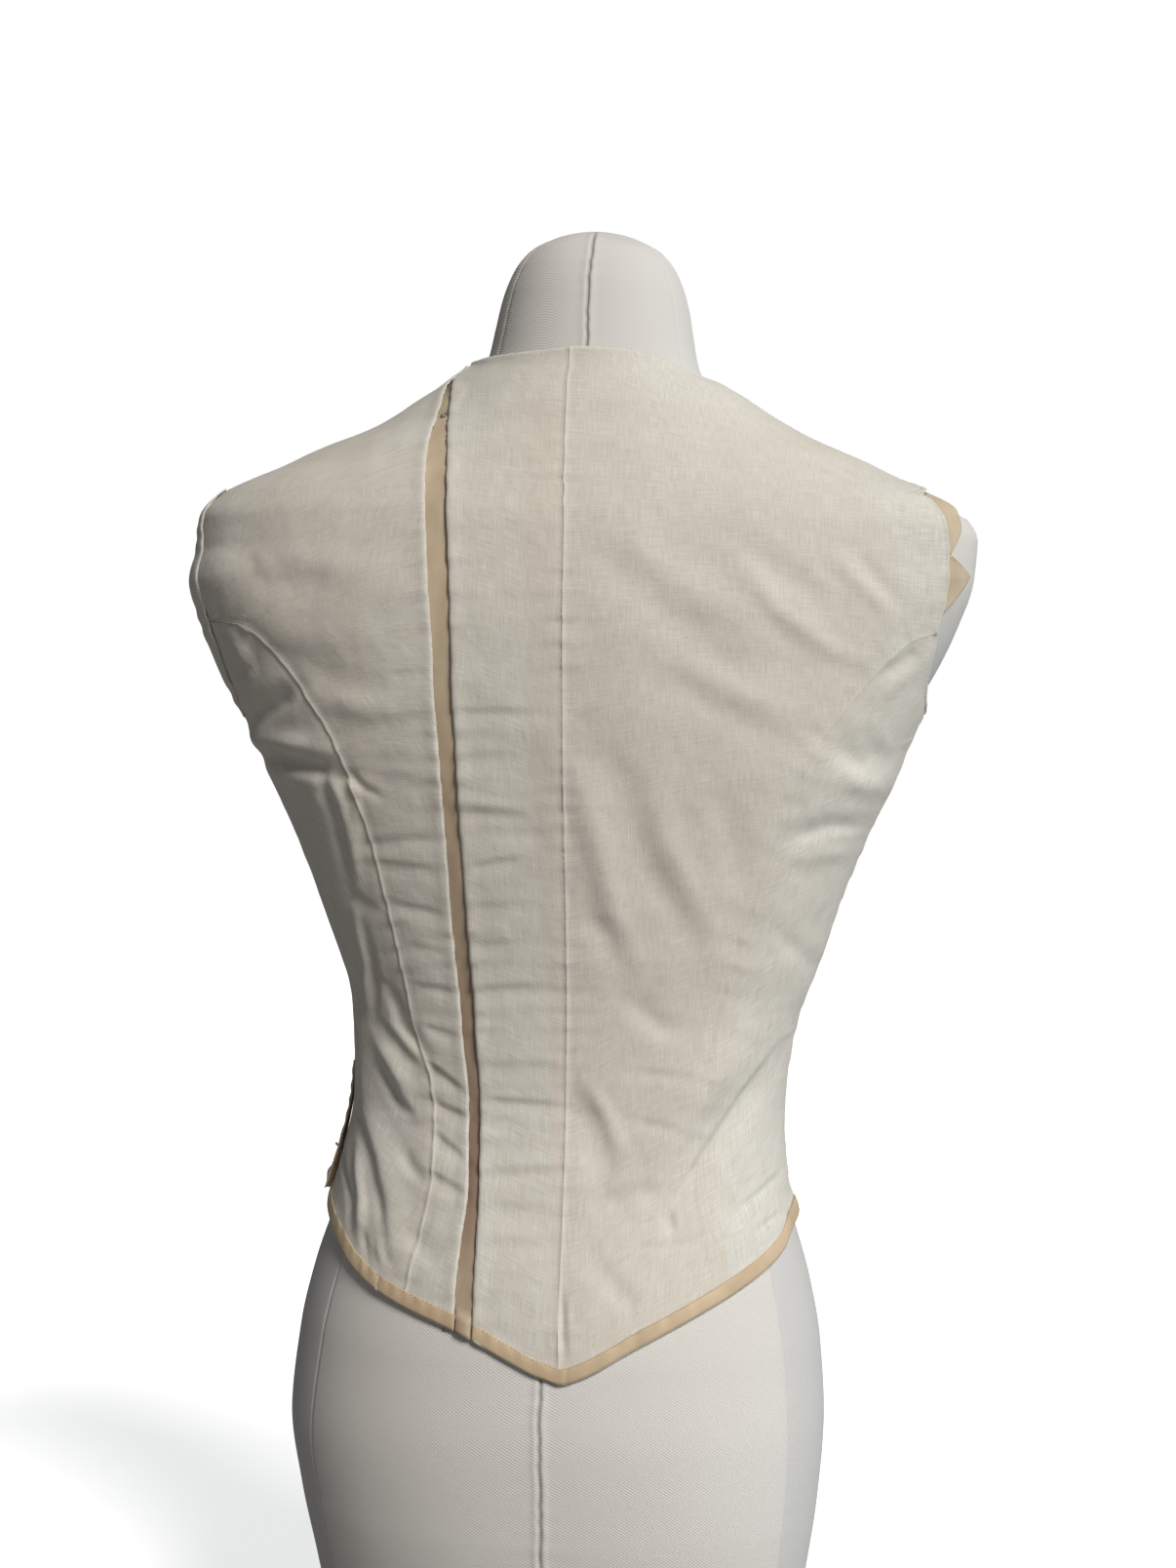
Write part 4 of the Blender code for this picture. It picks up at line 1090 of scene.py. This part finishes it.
def form_columns():
    """Angles of the form cover's columns: fine beside its seams."""
    fine = np.arange(-FORM_FINE, FORM_FINE + FORM_FINE_STEP / 2.0, FORM_FINE_STEP)
    left = np.linspace(-180.0, -FORM_FINE, FORM_COLUMNS, endpoint=False)
    beside = [seam + turn for seam in FORM_SEAMS[:4] for turn in FORM_SEAM_TURNS]
    return np.union1d(np.concatenate((left, fine, -left[::-1])), beside)


def between_angles(angle, low, high):
    """1 between two angles, 0 outside them, with a narrow turn at each."""
    return soft_step(angle, low - FORM_TURN, low + FORM_TURN) * (
        1.0 - soft_step(angle, high - FORM_TURN, high + FORM_TURN))


def make_form_cover(look):
    """The dress form's sewn cloth cover, with its seams drawn in."""
    angles, heights = np.meshgrid(form_columns(), form_rows())
    girth = arc(angles, heights)
    away = np.abs(angles * girth + sum(wavering(heights, waver) for waver in FORM_WAVERS))
    stitches = 1.0 + FORM_STITCH_SHARE * (np.sin(2 * pi * heights / FORM_STITCH) - 1.0)
    rise = ridges(away, [FORM_GROOVE]) + ridges(away, [FORM_ROLL]) * stitches
    rise += puckers(away, heights, *FORM_GATHERS)
    for seam in FORM_SEAMS:
        beside = np.abs((angles - seam) * girth)
        rise += ridges(beside, [FORM_SIDE_GROOVE]) + puckers(beside, heights, *FORM_SIDE_GATHERS)
    rise *= soft_step(heights, *FORM_FOOT_FADE) * (1.0 - soft_step(heights, *FORM_TOP_FADE))
    points = off_form(angles, heights, rise)
    flat = laid_flat(form_point(angles, heights))
    flat[..., 0] = np.radians(angles) * FORM_GIRTH
    seam = np.exp(-(away / FORM_SEAM_TONE) ** 2)
    side = np.maximum(between_angles(angles, FORM_SEAMS.front_left, FORM_SEAMS.back_left),
                      between_angles(angles, FORM_SEAMS.back_right, FORM_SEAMS.front_right))
    side *= 1.0 - soft_step(heights, *FORM_SIDE_TOP)
    piece = lay_grid("form_cover", points, look, flat, (("seam", seam), ("side", side)), thickness=0.0)
    bm = bmesh.new()
    bm.from_mesh(piece.data)
    bmesh.ops.remove_doubles(bm, verts=bm.verts[:], dist=FORM_WELD)
    close_rims(bm)
    bm.to_mesh(piece.data)
    bm.free()
    finish_piece(piece, "form_twill", "dress_form")


def make_hem_binding(name, low, high, look):
    """A length of bias binding folded over the hem, puffed between its fold and its sewing."""
    angles = np.linspace(low, high, int((high - low) * BINDING_COLUMNS))
    place = np.linspace(0.0, 1.0, BINDING_RINGS)[:, None] * (BINDING_WIDTH + BINDING_RETURN)
    up = np.abs(BINDING_WIDTH - place)
    bulge = np.sin(pi * np.minimum(1.0, place / BINDING_WIDTH * BINDING_STRETCH)) ** BINDING_SQUARE
    inside = BINDING_INSIDE - BINDING_FOLD_STEP * (up > BINDING_FOLD)
    lift = np.where(place < BINDING_WIDTH, BINDING_PUFF * bulge + BINDING_LIFT, inside)
    angle = (np.broadcast_to(angles, (BINDING_RINGS, len(angles))) + 180.0) % 360.0 - 180.0
    height = between(HEM, "height", angle) + up - BINDING_DROP
    girth = arc(angles, BINDING_LEVEL)
    along = np.cumsum(np.concatenate(([0.0], np.diff(angles) * girth[1:])))
    lift = lift + wavering(along, BINDING_WAVER) * (up / BINDING_WIDTH)
    for pinch in PINCHES:
        beside = (angles - pinch.angle) * girth
        lift = lift - pinch.depth * np.exp(-(beside / pinch.width) ** 2) * (lift > 0.0)
    rise = crease_rise(form_point(angle, height), angle) * soft_step(up, 0.0, BINDING_WIDTH)
    stand = np.maximum(ease(angle, height) + rise + WALL + lift, LEAST_LIFT)
    points = off_form(angle, height, stand)[::-1]
    flat = np.stack(np.broadcast_arrays(along, place[::-1]), axis=-1)
    make_cloth(name + "_cloth", points, look, "tan_binding", [name], flat=flat)


def make_placket(look):
    """The tan strip behind the slot, brought out over the hem binding at its foot."""
    share = np.linspace(0.0, 1.0, PLACKET_ROWS)[:, None]
    left, right = (mix(meeting_height(seam, HEM), meeting_height(seam, NECKLINE), share)
                   for seam in ("slot_left", "slot_right"))
    middle = np.linspace(0.0, 1.0, PLACKET_COLUMNS)[1:-1]
    tuck = np.linspace(0.0, PLACKET_TUCK, TUCK_COLUMNS)
    shift = np.concatenate((tuck - PLACKET_TUCK, 0.0 * middle, tuck))
    spots = np.concatenate((np.zeros(TUCK_COLUMNS), middle, np.ones(TUCK_COLUMNS)))
    height = mix(left, right, spots)
    angle = mix(angle_of("slot_left", left), angle_of("slot_right", right), spots)
    angle = angle + shift / arc(angle, height)
    inside = np.sin(pi * spots)
    foot = 1.0 - soft_step(left - left[0], *PLACKET_FOOT)
    ripple = inside * wavering(share, PLACKET_WAVER)
    lift = ripple - PLACKET_DROP + foot * inside ** 0.25 * (PLACKET_DROP + PLACKET_PROUD)
    stand = creased_stand(angle, height) + lift
    points = off_form(angle, height, np.maximum(stand, LEAST_LIFT))
    # Painted shade: darker where the strip lies deep between the slot's lips
    marks = (("shade", np.interp(height, *zip(*PLACKET_SHADES))),)
    make_cloth("placket_strip_cloth", points, look, "tan_binding", ["placket_strip"], marks=marks)


def make_turning(look):
    """The turned edge of the left armhole, lying on the back's edge."""
    height = np.linspace(TURNING[0].height, TURNING[-1].height, TURNING_ROWS)[:, None]
    heights, inner, outer = zip(*TURNING)
    share = np.linspace(0.0, 1.0, TURNING_COLUMNS)[None, :]
    angle = mix(np.interp(height, heights, outer), np.interp(height, heights, inner), share)
    tall = height + 0.0 * share
    swell = TURNING_LIFT * np.sqrt(np.clip(1.0 - (2.0 * share - 1.0) ** 4, 0.0, 1.0))
    stand = creased_stand(angle, tall) + BINDING_CLOTH + swell + wavering(tall, TURNING_WAVER)
    points = off_form(angle, tall, stand)
    marks = (("backing_and_highlight", np.ones(tall.shape)),)
    make_cloth("left_armhole_turning", points, look, "calico", [], marks=marks)


def opening_foot():
    """The height where the side opening's strip starts, just above the hem binding."""
    return float(between(HEM, "height", OPENING_ANGLE)) + BINDING_WIDTH + OPENING_FOOT_GAP


def opening_point(along, height, lift):
    """Points of the side opening's strip, whose back edge stands proud of the cloth."""
    angle = OPENING_ANGLE - (along - 0.5) * OPENING_STRIP / arc(OPENING_ANGLE, height)
    climb = (height - opening_foot()) / (OPENING_TOP - opening_foot())
    proud = OPENING_PROUD * (1.0 - along) * (1.0 - climb)
    return plain_point(angle, height, WALL + BINDING_LIFT + proud + lift)


def make_side_opening(look):
    """The bound edge that climbs the left side, as a soft roll of bias cloth."""
    height = np.linspace(opening_foot() - OPENING_OVERLAP, OPENING_TOP, OPENING_ROWS)[:, None]
    share = np.linspace(0.0, 1.0, OPENING_COLUMNS)[None, :]
    taper = 1.0 - 0.5 * soft_step(height, OPENING_TOP - OPENING_TAPER, OPENING_TOP)
    puff = OPENING_PUFF * np.sin(pi * share) ** OPENING_SQUARE * taper
    wave = wavering(height, OPENING_WAVER)
    knot = KNOT_SIZE * np.exp(-((height - opening_foot() - KNOT_PLACE) / KNOT_PLACE) ** 2)
    points = opening_point(1.0 - share, height + 0.0 * share, puff + (wave + knot) * np.sin(pi * share))
    make_cloth("side_opening_cloth", points, look, "tan_binding", ["side_opening_binding"])


def make_tab(name, tab, look):
    """A pointed piece of folded tan cloth that shows past the right armhole."""
    height = np.linspace(tab.low, tab.high, TAB_ROWS + 1)[:, None]
    reach = np.interp(height, (tab.low, tab.point_height, tab.high),
                      (tab.low_angle, tab.point_angle, tab.high_angle))
    share = np.linspace(0.0, 1.0, TAB_COLUMNS + 1)[None, :]
    angle = mix(angle_of("back_right_edge", height) - TAB_UNDER, reach, share)
    fold = TAB_FOLD * np.sin(pi * share) * np.exp(-((height - tab.point_height) / TAB_FOLD_WIDTH) ** 2)
    top = soft_step(height, tab.point_height, tab.high)
    lift = TAB_LIFT + (tab.proud + tab.top_proud * top) * share ** 2 + fold
    points = off_form(angle, height + 0.0 * share, lift)
    make_cloth(name + "_cloth", points, look, "tan_binding", [name])


def tube(bm, path, radius, sides=8):
    """A bent wire along a path, closed at both ends."""
    rings = []
    for index, point in enumerate(path):
        ahead = path[min(index + 1, len(path) - 1)] - path[max(index - 1, 0)]
        made = bmesh.ops.create_circle(bm, radius=radius, segments=sides, matrix=turned_to(ahead, point))
        ring = made["verts"]
        rings.append([edge for edge in bm.edges if edge.verts[0] in ring and edge.verts[1] in ring])
    for lower, upper in zip(rings, rings[1:]):
        bmesh.ops.bridge_loops(bm, edges=lower + upper)
    close_rims(bm)
    bmesh.ops.recalc_face_normals(bm, faces=bm.faces[:])


def small_piece(name, bm, look, slot, *nodes):
    """Turn a bmesh into a smooth piece."""
    mesh = mesh_from(name, bm)
    mesh.shade_smooth()
    if slot == "metal":
        mesh.set_sharp_from_angle(angle=METAL_EDGE)
    mesh.materials.append(look)
    finish_piece(add_object(name, mesh), slot, *nodes)


def make_hooks(look):
    """Bent wire hooks sewn along the side opening: two eyelets and a curled beak each."""
    for name, height in HOOK_HEIGHTS.items():
        seat = Vector(opening_point(np.array(HOOK_PLACE), np.array(height), np.array(HOOK_LIFT)))
        out = Vector(form_normal(np.array(OPENING_ANGLE), np.array(height)))
        down = (out * HOOK_LEAN - UP).normalized()
        aside = down.cross(out).normalized()
        bm = bmesh.new()
        for side in (-1.0, 1.0):
            centre = seat + aside * side * EYE_ASIDE - down * EYE_ABOVE
            loop = [centre + aside * cos(turn) * EYE_RADIUS - down * sin(turn) * EYE_RADIUS
                    for turn in np.linspace(*EYE_TURNS, 12)]
            tube(bm, loop, EYE_WIRE)
            shank = [seat + aside * side * SHANK_ASIDE + down * step
                     for step in np.linspace(SHANK_TOP, SHANK_FOOT, 6)]
            tube(bm, shank, SHANK_WIRE)
        beak = [seat + down * (SHANK_FOOT + BEAK_DROP * sin(turn)) + out * BEAK_OUT * (1.0 - cos(turn))
                for turn in np.linspace(0.0, BEAK_TURN, 10)]
        tube(bm, beak, BEAK_WIRE)
        small_piece(name + "_wire", bm, look, "metal", name)


def make_snap(look):
    """The small round snap: a rimmed disc with a raised middle."""
    height = np.array(SNAP_HEIGHT)
    angle = (angle_of("slot_left", height) + angle_of("slot_right", height)) / 2.0
    seat = Vector(plain_point(angle, height, np.array(SNAP_LIFT)))
    turned = turned_to(Vector(form_normal(angle, height)), seat)
    bm = bmesh.new()
    for ring in SNAP_RINGS:
        bmesh.ops.create_cone(bm, cap_ends=True, segments=SNAP_SIDES, radius1=SNAP_RADIUS * ring.foot,
                              radius2=SNAP_RADIUS * ring.top, depth=ring.depth,
                              matrix=turned @ Matrix.Translation((0.0, 0.0, ring.lift)))
    small_piece("snap_disc", bm, look, "metal", "snap")


def sewing(name, angles, heights, lift, look):
    """A row of stitches along a line on the cloth, as short capsules joined in one mesh."""
    points = off_form(angles, heights, creased_stand(angles, heights) + lift)
    steps = np.linalg.norm(np.diff(points, axis=0), axis=1)
    places = np.concatenate(([0.0], np.cumsum(steps)))
    size = Matrix.Diagonal((STITCH_RADIUS, STITCH_RADIUS, STITCH_LENGTH / 2, 1.0))
    bm = bmesh.new()
    for start in np.arange(STITCH_SPACING / 2, places[-1] - STITCH_LENGTH, STITCH_SPACING):
        first, last = (Vector([np.interp(place, places, points[:, axis]) for axis in range(3)])
                       for place in (start, start + STITCH_LENGTH))
        bmesh.ops.create_uvsphere(bm, u_segments=6, v_segments=4, radius=1.0,
                                  matrix=turned_to(last - first, (first + last) / 2) @ size)
    small_piece(name, bm, look, "calico")


def make_sewing(cream, tan):
    """Rows of stitches: along the binding and the armholes."""
    hem = np.linspace(-180.0, 180.0, 1400)
    sewing("hem_stitches", hem, between(HEM, "height", hem) + HEM_STITCH_PLACE, HEM_STITCH_LIFT, tan)
    for row in ARMHOLE_STITCHES:
        back = np.linspace(row.low, row.high, 120)
        sewing(row.name, angle_of(row.seam, back) + row.turn, back, ARMHOLE_STITCH_LIFT, cream)


def add(tree, kind, **settings):
    """Add a node and set its own settings."""
    made = tree.nodes.new(kind)
    for key, value in settings.items():
        setattr(made, key, value)
    return made


def wire(tree, source, target):
    """Join an output to an input, or set a number on it."""
    if isinstance(source, (int, float, tuple)):
        target.default_value = source
    else:
        tree.links.new(source, target)


def sums(tree, operation, first, second=0.0, third=0.0):
    """A Math node."""
    made = add(tree, "ShaderNodeMath", operation=operation)
    for value, socket in zip((first, second, third), made.inputs):
        wire(tree, value, socket)
    return made.outputs[0]


def stretched(tree, vector, scale):
    """A vector multiplied by a scale."""
    made = add(tree, "ShaderNodeVectorMath", operation="MULTIPLY")
    wire(tree, vector, made.inputs[0])
    made.inputs[1].default_value = scale
    return made.outputs[0]


def speckle(tree, vector, detail=2.0):
    """Noise between 0 and 1."""
    made = add(tree, "ShaderNodeTexNoise")
    wire(tree, vector, made.inputs["Vector"])
    made.inputs["Scale"].default_value = 1.0
    made.inputs["Detail"].default_value = detail
    return made.outputs["Fac"]


def spread(tree, value, low, high, to_low=0.0, to_high=1.0):
    """Map a range to another, held at its ends."""
    made = add(tree, "ShaderNodeMapRange")
    for source, socket in zip((value, low, high, to_low, to_high), made.inputs):
        wire(tree, source, socket)
    return made.outputs[0]


def blend_colours(tree, share, first, second):
    """Blend two colours."""
    made = add(tree, "ShaderNodeMix", data_type="RGBA")
    wire(tree, share, made.inputs[0])
    wire(tree, first, made.inputs[6])
    wire(tree, second, made.inputs[7])
    return made.outputs[2]


def new_group(name, inputs, outputs):
    """An empty node group with named sockets."""
    group = bpy.data.node_groups.new(name, "ShaderNodeTree")
    for label, kind in inputs:
        group.interface.new_socket(label, in_out="INPUT", socket_type=kind)
    for label, kind in outputs:
        group.interface.new_socket(label, in_out="OUTPUT", socket_type=kind)
    return group, add(group, "NodeGroupInput"), add(group, "NodeGroupOutput")


def thread_group(name, count):
    """A group that turns a place on the cloth into a height and a tone."""
    group, given, made = new_group(
        name, (("Cloth", "NodeSocketVector"), (count, "NodeSocketFloat")),
        (("Height", "NodeSocketFloat"), ("Tone", "NodeSocketFloat")))
    cloth = given.outputs["Cloth"]
    parts = add(group, "ShaderNodeSeparateXYZ")
    wire(group, cloth, parts.inputs[0])
    turns = sums(group, "MULTIPLY", given.outputs[count], 2 * pi)
    return group, cloth, parts.outputs, turns, made.inputs


def plain_weave_group():
    """Crossing threads with slubs: a height and a tone."""
    group, cloth, (across, up, _), turns, given_out = thread_group("plain weave", "Threads")
    warp = sums(group, "SINE", sums(group, "MULTIPLY", across, turns))
    weft = sums(group, "SINE", sums(group, "MULTIPLY", up, turns))
    crossing = sums(group, "MULTIPLY", warp, weft)
    warp_slub = speckle(group, stretched(group, cloth, (1400.0, 70.0, 1.0)))
    weft_slub = speckle(group, stretched(group, cloth, (70.0, 1400.0, 1.0)))
    slubs = sums(group, "ADD", warp_slub, weft_slub)
    wire(group, sums(group, "MULTIPLY_ADD", crossing, 0.25, slubs), given_out["Height"])
    wire(group, sums(group, "MULTIPLY", slubs, 0.5), given_out["Tone"])
    return group


def twill_group():
    """Fine slanting ribs: a height and a tone."""
    group, cloth, (across, up, _), turns, given_out = thread_group("twill", "Ribs")
    slant = sums(group, "MULTIPLY_ADD", across, 0.75, up)
    waver = sums(group, "MULTIPLY", speckle(group, stretched(group, cloth, (160.0, 160.0, 1.0))), 2.5)
    rib = sums(group, "SINE", sums(group, "MULTIPLY_ADD", slant, turns, waver))
    grain = speckle(group, stretched(group, cloth, (1500.0, 900.0, 1.0)))
    wire(group, sums(group, "MULTIPLY_ADD", rib, 0.5, grain), given_out["Height"])
    wire(group, sums(group, "MULTIPLY_ADD", rib, 0.22, grain), given_out["Tone"])
    return group


def fleck_group():
    """Rare dark flecks of seed husk spun into the thread: a mask."""
    group, given, made = new_group(
        "seed flecks", (("Cloth", "NodeSocketVector"), ("Size", "NodeSocketFloat")),
        (("Mask", "NodeSocketFloat"),))
    cells = add(group, "ShaderNodeTexVoronoi", voronoi_dimensions="2D")
    wire(group, given.outputs["Cloth"], cells.inputs["Vector"])
    cells.inputs["Scale"].default_value = FLECK_CELLS
    pick = add(group, "ShaderNodeSeparateColor")
    wire(group, cells.outputs["Color"], pick.inputs[0])
    reach = sums(group, "MULTIPLY", given.outputs["Size"], pick.outputs[1])
    near = sums(group, "LESS_THAN", cells.outputs["Distance"], reach)
    rare = sums(group, "GREATER_THAN", pick.outputs[0], FLECK_RARITY)
    wire(group, sums(group, "MULTIPLY", near, rare), made.inputs["Mask"])
    return group


def place_group(tree, group, **values):
    """A group node with its inputs joined or set."""
    made = add(tree, "ShaderNodeGroup", node_tree=group)
    for label, value in values.items():
        wire(tree, value, made.inputs[label])
    return made


def new_look(name, roughness, **constants):
    """A material and its shader."""
    look = bpy.data.materials.new(name)
    look.use_nodes = True
    tree = look.node_tree
    shader = tree.nodes["Principled BSDF"]
    shader.inputs["Roughness"].default_value = roughness
    for label, value in constants.items():
        shader.inputs[label.replace("_", " ")].default_value = value
    return look, tree, shader


def cloth_coordinates(tree):
    """Distances along the cloth in metres."""
    return add(tree, "ShaderNodeUVMap", uv_map="cloth").outputs[0]


def bump(tree, shader, height, strength, distance):
    """Give the shader a relief."""
    made = add(tree, "ShaderNodeBump")
    made.inputs["Strength"].default_value = strength
    made.inputs["Distance"].default_value = distance
    wire(tree, height, made.inputs["Height"])
    wire(tree, made.outputs[0], shader.inputs["Normal"])


def on_object(tree, *scale):
    """Places on the object, multiplied by a scale."""
    return stretched(tree, add(tree, "ShaderNodeTexCoord").outputs["Object"], scale)


def mark(tree, name):
    """The value of an attribute of the mesh."""
    return add(tree, "ShaderNodeAttribute", attribute_name=name).outputs["Fac"]


def calico_look(weave, flecks):
    """Unbleached calico, toned by what lies behind it and lightened by painted highlights along some seams.
    """
    look, tree, shader = new_look("calico", 0.88, Sheen_Weight=0.10, Sheen_Roughness=0.5,
                                  Specular_IOR_Level=0.25)
    cloth = cloth_coordinates(tree)
    threads = place_group(tree, weave, Cloth=cloth, Threads=CALICO_THREADS)
    fleck = place_group(tree, flecks, Cloth=cloth, Size=FLECK_SIZE)
    base = blend_colours(tree, mark(tree, "backing_and_highlight"), DEEP_CALICO, BACKED_AND_HIGHLIT_CALICO)
    age = spread(tree, speckle(tree, on_object(tree, 14.0, 14.0, 14.0)), 0.35, 0.65, 0.0, 0.35)
    base = blend_colours(tree, age, base, AGED_CALICO)
    streak = spread(tree, threads.outputs["Tone"], 0.35, 0.65, 0.0, 0.85)
    base = blend_colours(tree, streak, base, THREAD_SHADE)
    base = blend_colours(tree, fleck.outputs["Mask"], base, FLECK)
    wire(tree, base, shader.inputs["Base Color"])
    crumples = sums(tree, "MULTIPLY", speckle(tree, on_object(tree, 90.0, 90.0, 90.0), 3.0), 0.8)
    relief = sums(tree, "MULTIPLY_ADD", threads.outputs["Height"], 0.10, crumples)
    bump(tree, shader, relief, 0.5, 0.0012)
    return look


def tan_look(name, weave, roughness, sheen, patches, deep, pale, shaded):
    """Smooth tan binding cloth; on the strip a painted shade darkens it where it lies deep in the slot."""
    look, tree, shader = new_look(name, roughness, Sheen_Weight=sheen, Sheen_Roughness=0.4,
                                  Specular_IOR_Level=0.4)
    threads = place_group(tree, weave, Cloth=cloth_coordinates(tree), Threads=TAN_THREADS)
    tone = spread(tree, speckle(tree, on_object(tree, *patches)), 0.3, 0.7)
    base = blend_colours(tree, tone, deep, pale)
    if shaded:
        base = blend_colours(tree, mark(tree, "shade"), base, PLACKET_SHADE)
    wire(tree, base, shader.inputs["Base Color"])
    bump(tree, shader, threads.outputs["Height"], 0.25, 0.0002)
    return look


def form_look(twill):
    """The form's fine twill cover, with darker seams and bluer side panels."""
    look, tree, shader = new_look("form twill", 0.90, Sheen_Weight=0.08, Sheen_Roughness=0.5,
                                  Specular_IOR_Level=0.2)
    ribs = place_group(tree, twill, Cloth=cloth_coordinates(tree), Ribs=FORM_RIBS)
    tone = spread(tree, speckle(tree, on_object(tree, 9.0, 9.0, 9.0)), 0.35, 0.65, 0.0, 0.5)
    base = blend_colours(tree, tone, FORM_PALE, FORM_WARM)
    streak = spread(tree, ribs.outputs["Tone"], 0.2, 0.8, 0.0, 0.32)
    base = blend_colours(tree, streak, base, FORM_SHADE)
    for name, share, colour in (("side", SIDE_SHARE, FORM_SIDE), ("seam", SEAM_SHARE, FORM_SEAM)):
        base = blend_colours(tree, sums(tree, "MULTIPLY", mark(tree, name), share), base, colour)
    wire(tree, base, shader.inputs["Base Color"])
    bump(tree, shader, ribs.outputs["Height"], 0.4, 0.0003)
    return look


def thread_look(name, deep, pale):
    """Sewing thread."""
    look, tree, shader = new_look(name, 0.6, Sheen_Weight=0.2)
    tone = speckle(tree, on_object(tree, 900.0, 900.0, 900.0))
    wire(tree, blend_colours(tree, tone, deep, pale), shader.inputs["Base Color"])
    return look


def metal_look():
    """Dull nickel with uneven wear."""
    look, tree, shader = new_look("dull nickel", 0.35, Metallic=1.0)
    tone = speckle(tree, on_object(tree, 700.0, 700.0, 700.0), 3.0)
    wire(tree, blend_colours(tree, tone, NICKEL_DARK, NICKEL_PALE), shader.inputs["Base Color"])
    wire(tree, spread(tree, tone, 0.3, 0.7, 0.28, 0.5), shader.inputs["Roughness"])
    return look


def make_camera():
    """The camera at the photograph's angle."""
    turn = radians(CAMERA_TURN)
    ahead = Vector((-sin(turn), cos(turn), 0.0))
    across = Vector((cos(turn), sin(turn), 0.0))
    roll = radians(CAMERA_ROLL)
    right = across * cos(roll) + UP * sin(roll)
    top = UP * cos(roll) - across * sin(roll)
    camera = bpy.data.cameras.new("camera")
    camera.sensor_width = SENSOR
    camera.lens = CAMERA_LENS
    holder = add_object("camera", camera)
    place = Vector((CAMERA_ACROSS, 0.0, CAMERA_HEIGHT)) - ahead * CAMERA_DISTANCE
    turned = Matrix((right, top, -ahead)).transposed().to_4x4()
    holder.matrix_world = Matrix.Translation(place) @ turned
    bpy.context.scene.camera = holder


def make_lights():
    """Far soft lights."""
    for row in LAMPS:
        lamp = bpy.data.lights.new(row.name, "SUN")
        lamp.angle = radians(row.softness)
        lamp.energy = row.strength
        lamp.color = row.colour
        azimuth, elevation = radians(row.azimuth), radians(row.elevation)
        flat = cos(elevation)
        source = Vector((sin(azimuth) * flat, -cos(azimuth) * flat, sin(elevation)))
        add_object(row.name, lamp).rotation_euler = (-source).to_track_quat("-Z", "Y").to_euler()


def make_floor():
    """A plain pale floor, which lights the part less than it shows."""
    bm = bmesh.new()
    bmesh.ops.create_grid(bm, x_segments=2, y_segments=2, size=FLOOR_SIZE)
    mesh = mesh_from("floor", bm)
    look, tree, shader = new_look("pale floor", 0.95, Specular_IOR_Level=0.1, Emission_Color=FLOOR_PALE)
    looked_at = add(tree, "ShaderNodeLightPath").outputs["Is Camera Ray"]
    wire(tree, sums(tree, "MULTIPLY", looked_at, FLOOR_GLOW), shader.inputs["Emission Strength"])
    wire(tree, blend_colours(tree, looked_at, FLOOR_BOUNCE, FLOOR_PALE), shader.inputs["Base Color"])
    mesh.materials.append(look)
    floor = add_object("floor", mesh)


def make_room():
    """A plain pale room, white where the camera looks at it."""
    room = bpy.data.worlds.new("pale room")
    room.use_nodes = True
    tree = room.node_tree
    glow = tree.nodes["Background"]
    glow.inputs["Color"].default_value = ROOM_COLOUR
    glow.inputs["Strength"].default_value = ROOM_GLOW
    seen = add(tree, "ShaderNodeBackground")
    seen.inputs["Color"].default_value = SEEN_ROOM
    choice = add(tree, "ShaderNodeMixShader")
    wire(tree, add(tree, "ShaderNodeLightPath").outputs["Is Camera Ray"], choice.inputs[0])
    wire(tree, glow.outputs[0], choice.inputs[1])
    wire(tree, seen.outputs[0], choice.inputs[2])
    wire(tree, choice.outputs[0], tree.nodes["World Output"].inputs[0])
    bpy.context.scene.world = room
    bpy.context.scene.view_settings.view_transform = "Standard"


def main():
    """Dress the frame: form, panels, bindings, fastenings, sewing, camera and light."""
    weave = plain_weave_group()
    calico = calico_look(weave, fleck_group())
    tan = tan_look("tan binding", weave, 0.55, 0.15, (60.0, 60.0, 60.0), TAN_DEEP, TAN_PALE, False)
    strip = tan_look("placket tan", weave, 0.48, 0.10, (90.0, 90.0, 30.0), PLACKET_DEEP, PLACKET_PALE, True)
    metal = metal_look()
    make_camera()
    make_floor()
    make_lights()
    make_room()
    make_form_cover(form_look(twill_group()))
    lines = lines_of_garment()
    for name, panel in PANELS.items():
        make_panel(name, panel, lines, calico)
    make_hem_binding("hem_binding_left", -90.0, edge_angle("slot_left", HEM), tan)
    make_hem_binding("hem_binding_right", edge_angle("slot_right", HEM), 90.0, tan)
    make_hem_binding("hem_binding_front", 90.0, 270.0, tan)
    make_placket(strip)
    make_turning(calico)
    make_side_opening(tan)
    for name, tab in TABS.items():
        make_tab(name, tab, strip)
    make_hooks(metal)
    make_snap(metal)
    make_sewing(thread_look("cream thread", THREAD_DEEP, THREAD_PALE),
                thread_look("tan thread", TAN_DEEP, TAN_PALE))


main()
